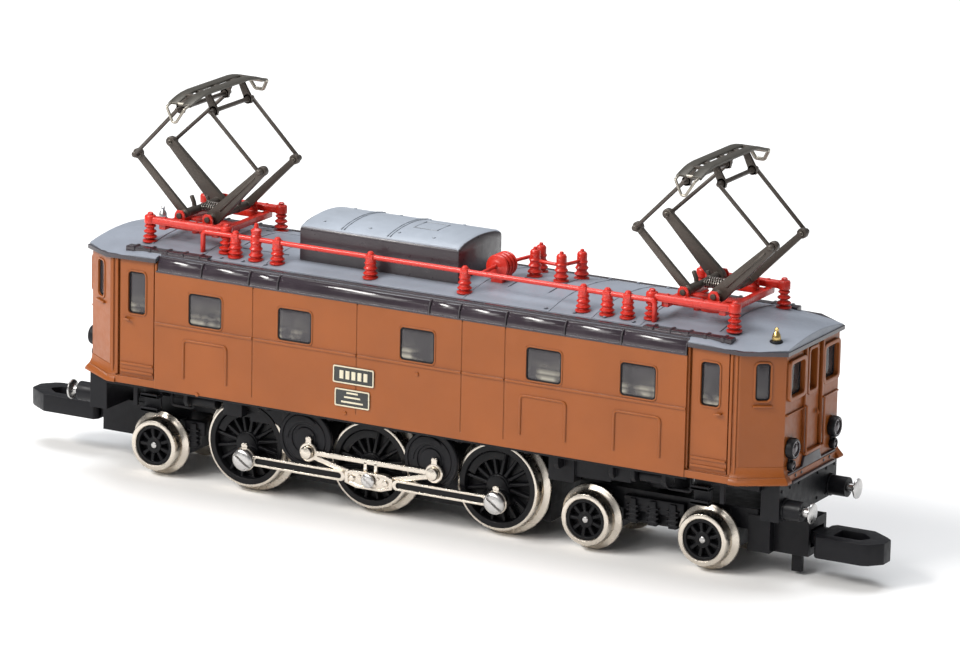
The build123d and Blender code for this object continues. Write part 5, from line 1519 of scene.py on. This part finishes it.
def head_horns(cx):
    """Wire horns: a long slim loop on the near side, and a shorter, stouter one on the far side."""
    shape = Shape()
    for side, r in ((-1, 0.11), (1, 0.15)):
        y0, y1, y2 = side * 5.4, side * 6.15, side * 6.35
        low = HEAD_Z - (0.35 if side < 0 else 0.05)
        tip = 0.16 if side < 0 else 0.36
        loop = [(cx - 0.85, y0, STRIP_TOP - 0.62), (cx - 0.8, y1, STRIP_TOP - 0.8), (cx - tip, y2, low),
                (cx + tip, y2, low), (cx + 0.8, y1, STRIP_TOP - 0.8), (cx + 0.85, y0, STRIP_TOP - 0.62)]
        shape.add(tube(rounded_path(loop, 0.14), r, 10))
        shape.add(tube([(cx - 0.85, y0, STRIP_TOP - 0.64), (cx + 0.85, y0, STRIP_TOP - 0.64)], r * 1.1, 10))
    return shape


def coil_springs(cx):
    """Two coil springs side by side between the arms' pivots, and the post under them."""
    shape = Shape()
    z = PIVOT_Z + 0.12
    for side in SIDES:
        y = side * 0.44
        points = [(cx - 1.05, y, z)]
        turns, per = 10, 14
        for k in range(turns * per + 1):
            angle = 2 * math.pi * k / per
            x = cx - 0.95 + 1.9 * k / (turns * per)
            points.append((x, y + 0.27 * math.cos(angle), z + 0.27 * math.sin(angle)))
        points.append((cx + 1.05, y, z))
        shape.add(tube(points, 0.062, 8))
    shape.add(box(cx - 0.12, cx + 0.12, -0.38, 0.38, 19.9, PIVOT_Z, 0.04))
    return shape


for label, cx in PANTO_X.items():
    name = "panto_" + label
    piece(name + "_cradle", panto_base(cx), "chassis", RED, (name + "_base",))
    piece(name + "_coils", coil_springs(cx), "chassis", SPRING, (name + "_springs",))
    for letter, end in (("a", -1), ("b", 1)):
        arms, bolts = lower_arms(cx, end)
        lower = f"{name}_lower_{letter}"
        piece(f"{name}_arms_{letter}", arms, lower + "_body", PANTO, (lower,))
        piece(f"{name}_bolts_{letter}", bolts, lower + "_body", WIRE)
        upper = f"{name}_upper_{letter}"
        piece(f"{name}_wires_{letter}", upper_wires(cx, end), upper + "_body", PANTO, (upper,))
    head = name + "_head"
    piece(name + "_strips", contact_strips(cx), head + "_body", STRIP, (head,))
    piece(name + "_head_gear", head_gear(cx), head + "_body", PANTO)
    piece(name + "_horns", head_horns(cx), head + "_body", WIRE)


# ---------------------------------------------------------------- floor, light and camera

def stage():
    """Pale floor, wide enough to fill the view."""
    mesh = bpy.data.meshes.new("floor")
    size = 4.0
    corners = [(-size, -size, 0), (size, -size, 0), (size, size, 0), (-size, size, 0)]
    mesh.from_pydata(corners, [], [(0, 1, 2, 3)])
    floor = bpy.data.objects.new("floor", mesh)
    bpy.context.scene.collection.objects.link(floor)
    mat = bpy.data.materials.new("pale_floor")
    mat.use_nodes = True
    shader = mat.node_tree.nodes["Principled BSDF"]
    shader.inputs["Base Color"].default_value = (0.93, 0.925, 0.92, 1.0)
    shader.inputs["Roughness"].default_value = 0.8
    mesh.materials.append(mat)


def softbox(name, place, aim, size, watts, color):
    """Rectangular area light that points at its aim."""
    light = bpy.data.lights.new(name, "AREA")
    light.shape = "RECTANGLE"
    light.size, light.size_y = size
    light.energy = watts
    light.color = color
    lamp = bpy.data.objects.new(name, light)
    lamp.location = place
    lamp.rotation_euler = (Vector(aim) - Vector(place)).to_track_quat("-Z", "Y").to_euler()
    bpy.context.scene.collection.objects.link(lamp)


def lights():
    """Key, front and top softboxes, and a dim white world."""
    softbox("key", (-0.30, -0.34, 0.40), (0.0, 0.0, 0.01), (0.34, 0.12), 3.1, (1.0, 0.985, 0.955))
    softbox("front", (-0.10, -0.52, 0.34), (0.0, 0.0, 0.015), (0.4, 0.16), 0.85, (1.0, 0.98, 0.96))
    softbox("top", (-0.05, 0.12, 0.5), (0.0, 0.0, 0.0), (0.4, 0.3), 2.1, (0.94, 0.97, 1.0))
    world = bpy.data.worlds.new("studio")
    bpy.context.scene.world = world
    world.use_nodes = True
    back = world.node_tree.nodes["Background"]
    back.inputs["Color"].default_value = (0.97, 0.98, 1.0, 1.0)
    back.inputs["Strength"].default_value = 0.24


def camera():
    """Long lens from the front right, a little above the roof, rolled by about a degree."""
    turn, tilt, roll = (math.radians(v) for v in (28.178, 14.720, 1.240))
    target = Vector((5.536, -6.75, 16.371)) * MM
    distance = 0.452176
    back = Vector((math.sin(turn) * math.cos(tilt), -math.cos(turn) * math.cos(tilt), math.sin(tilt)))
    level = Vector((math.cos(turn), math.sin(turn), 0))
    upward = back.cross(level)
    right = level * math.cos(roll) + upward * math.sin(roll)
    up = upward * math.cos(roll) - level * math.sin(roll)
    view = bpy.data.cameras.new("camera")
    view.sensor_width = 36.0
    view.lens = 227.96
    view.clip_start = 0.01
    view.clip_end = 20.0
    eye = bpy.data.objects.new("camera", view)
    turned = Matrix((right, up, back)).transposed().to_4x4()
    eye.matrix_world = Matrix.Translation(target + back * distance) @ turned
    bpy.context.scene.collection.objects.link(eye)
    bpy.context.scene.camera = eye


stage()
lights()
camera()
bpy.context.scene.view_settings.view_transform = "Standard"
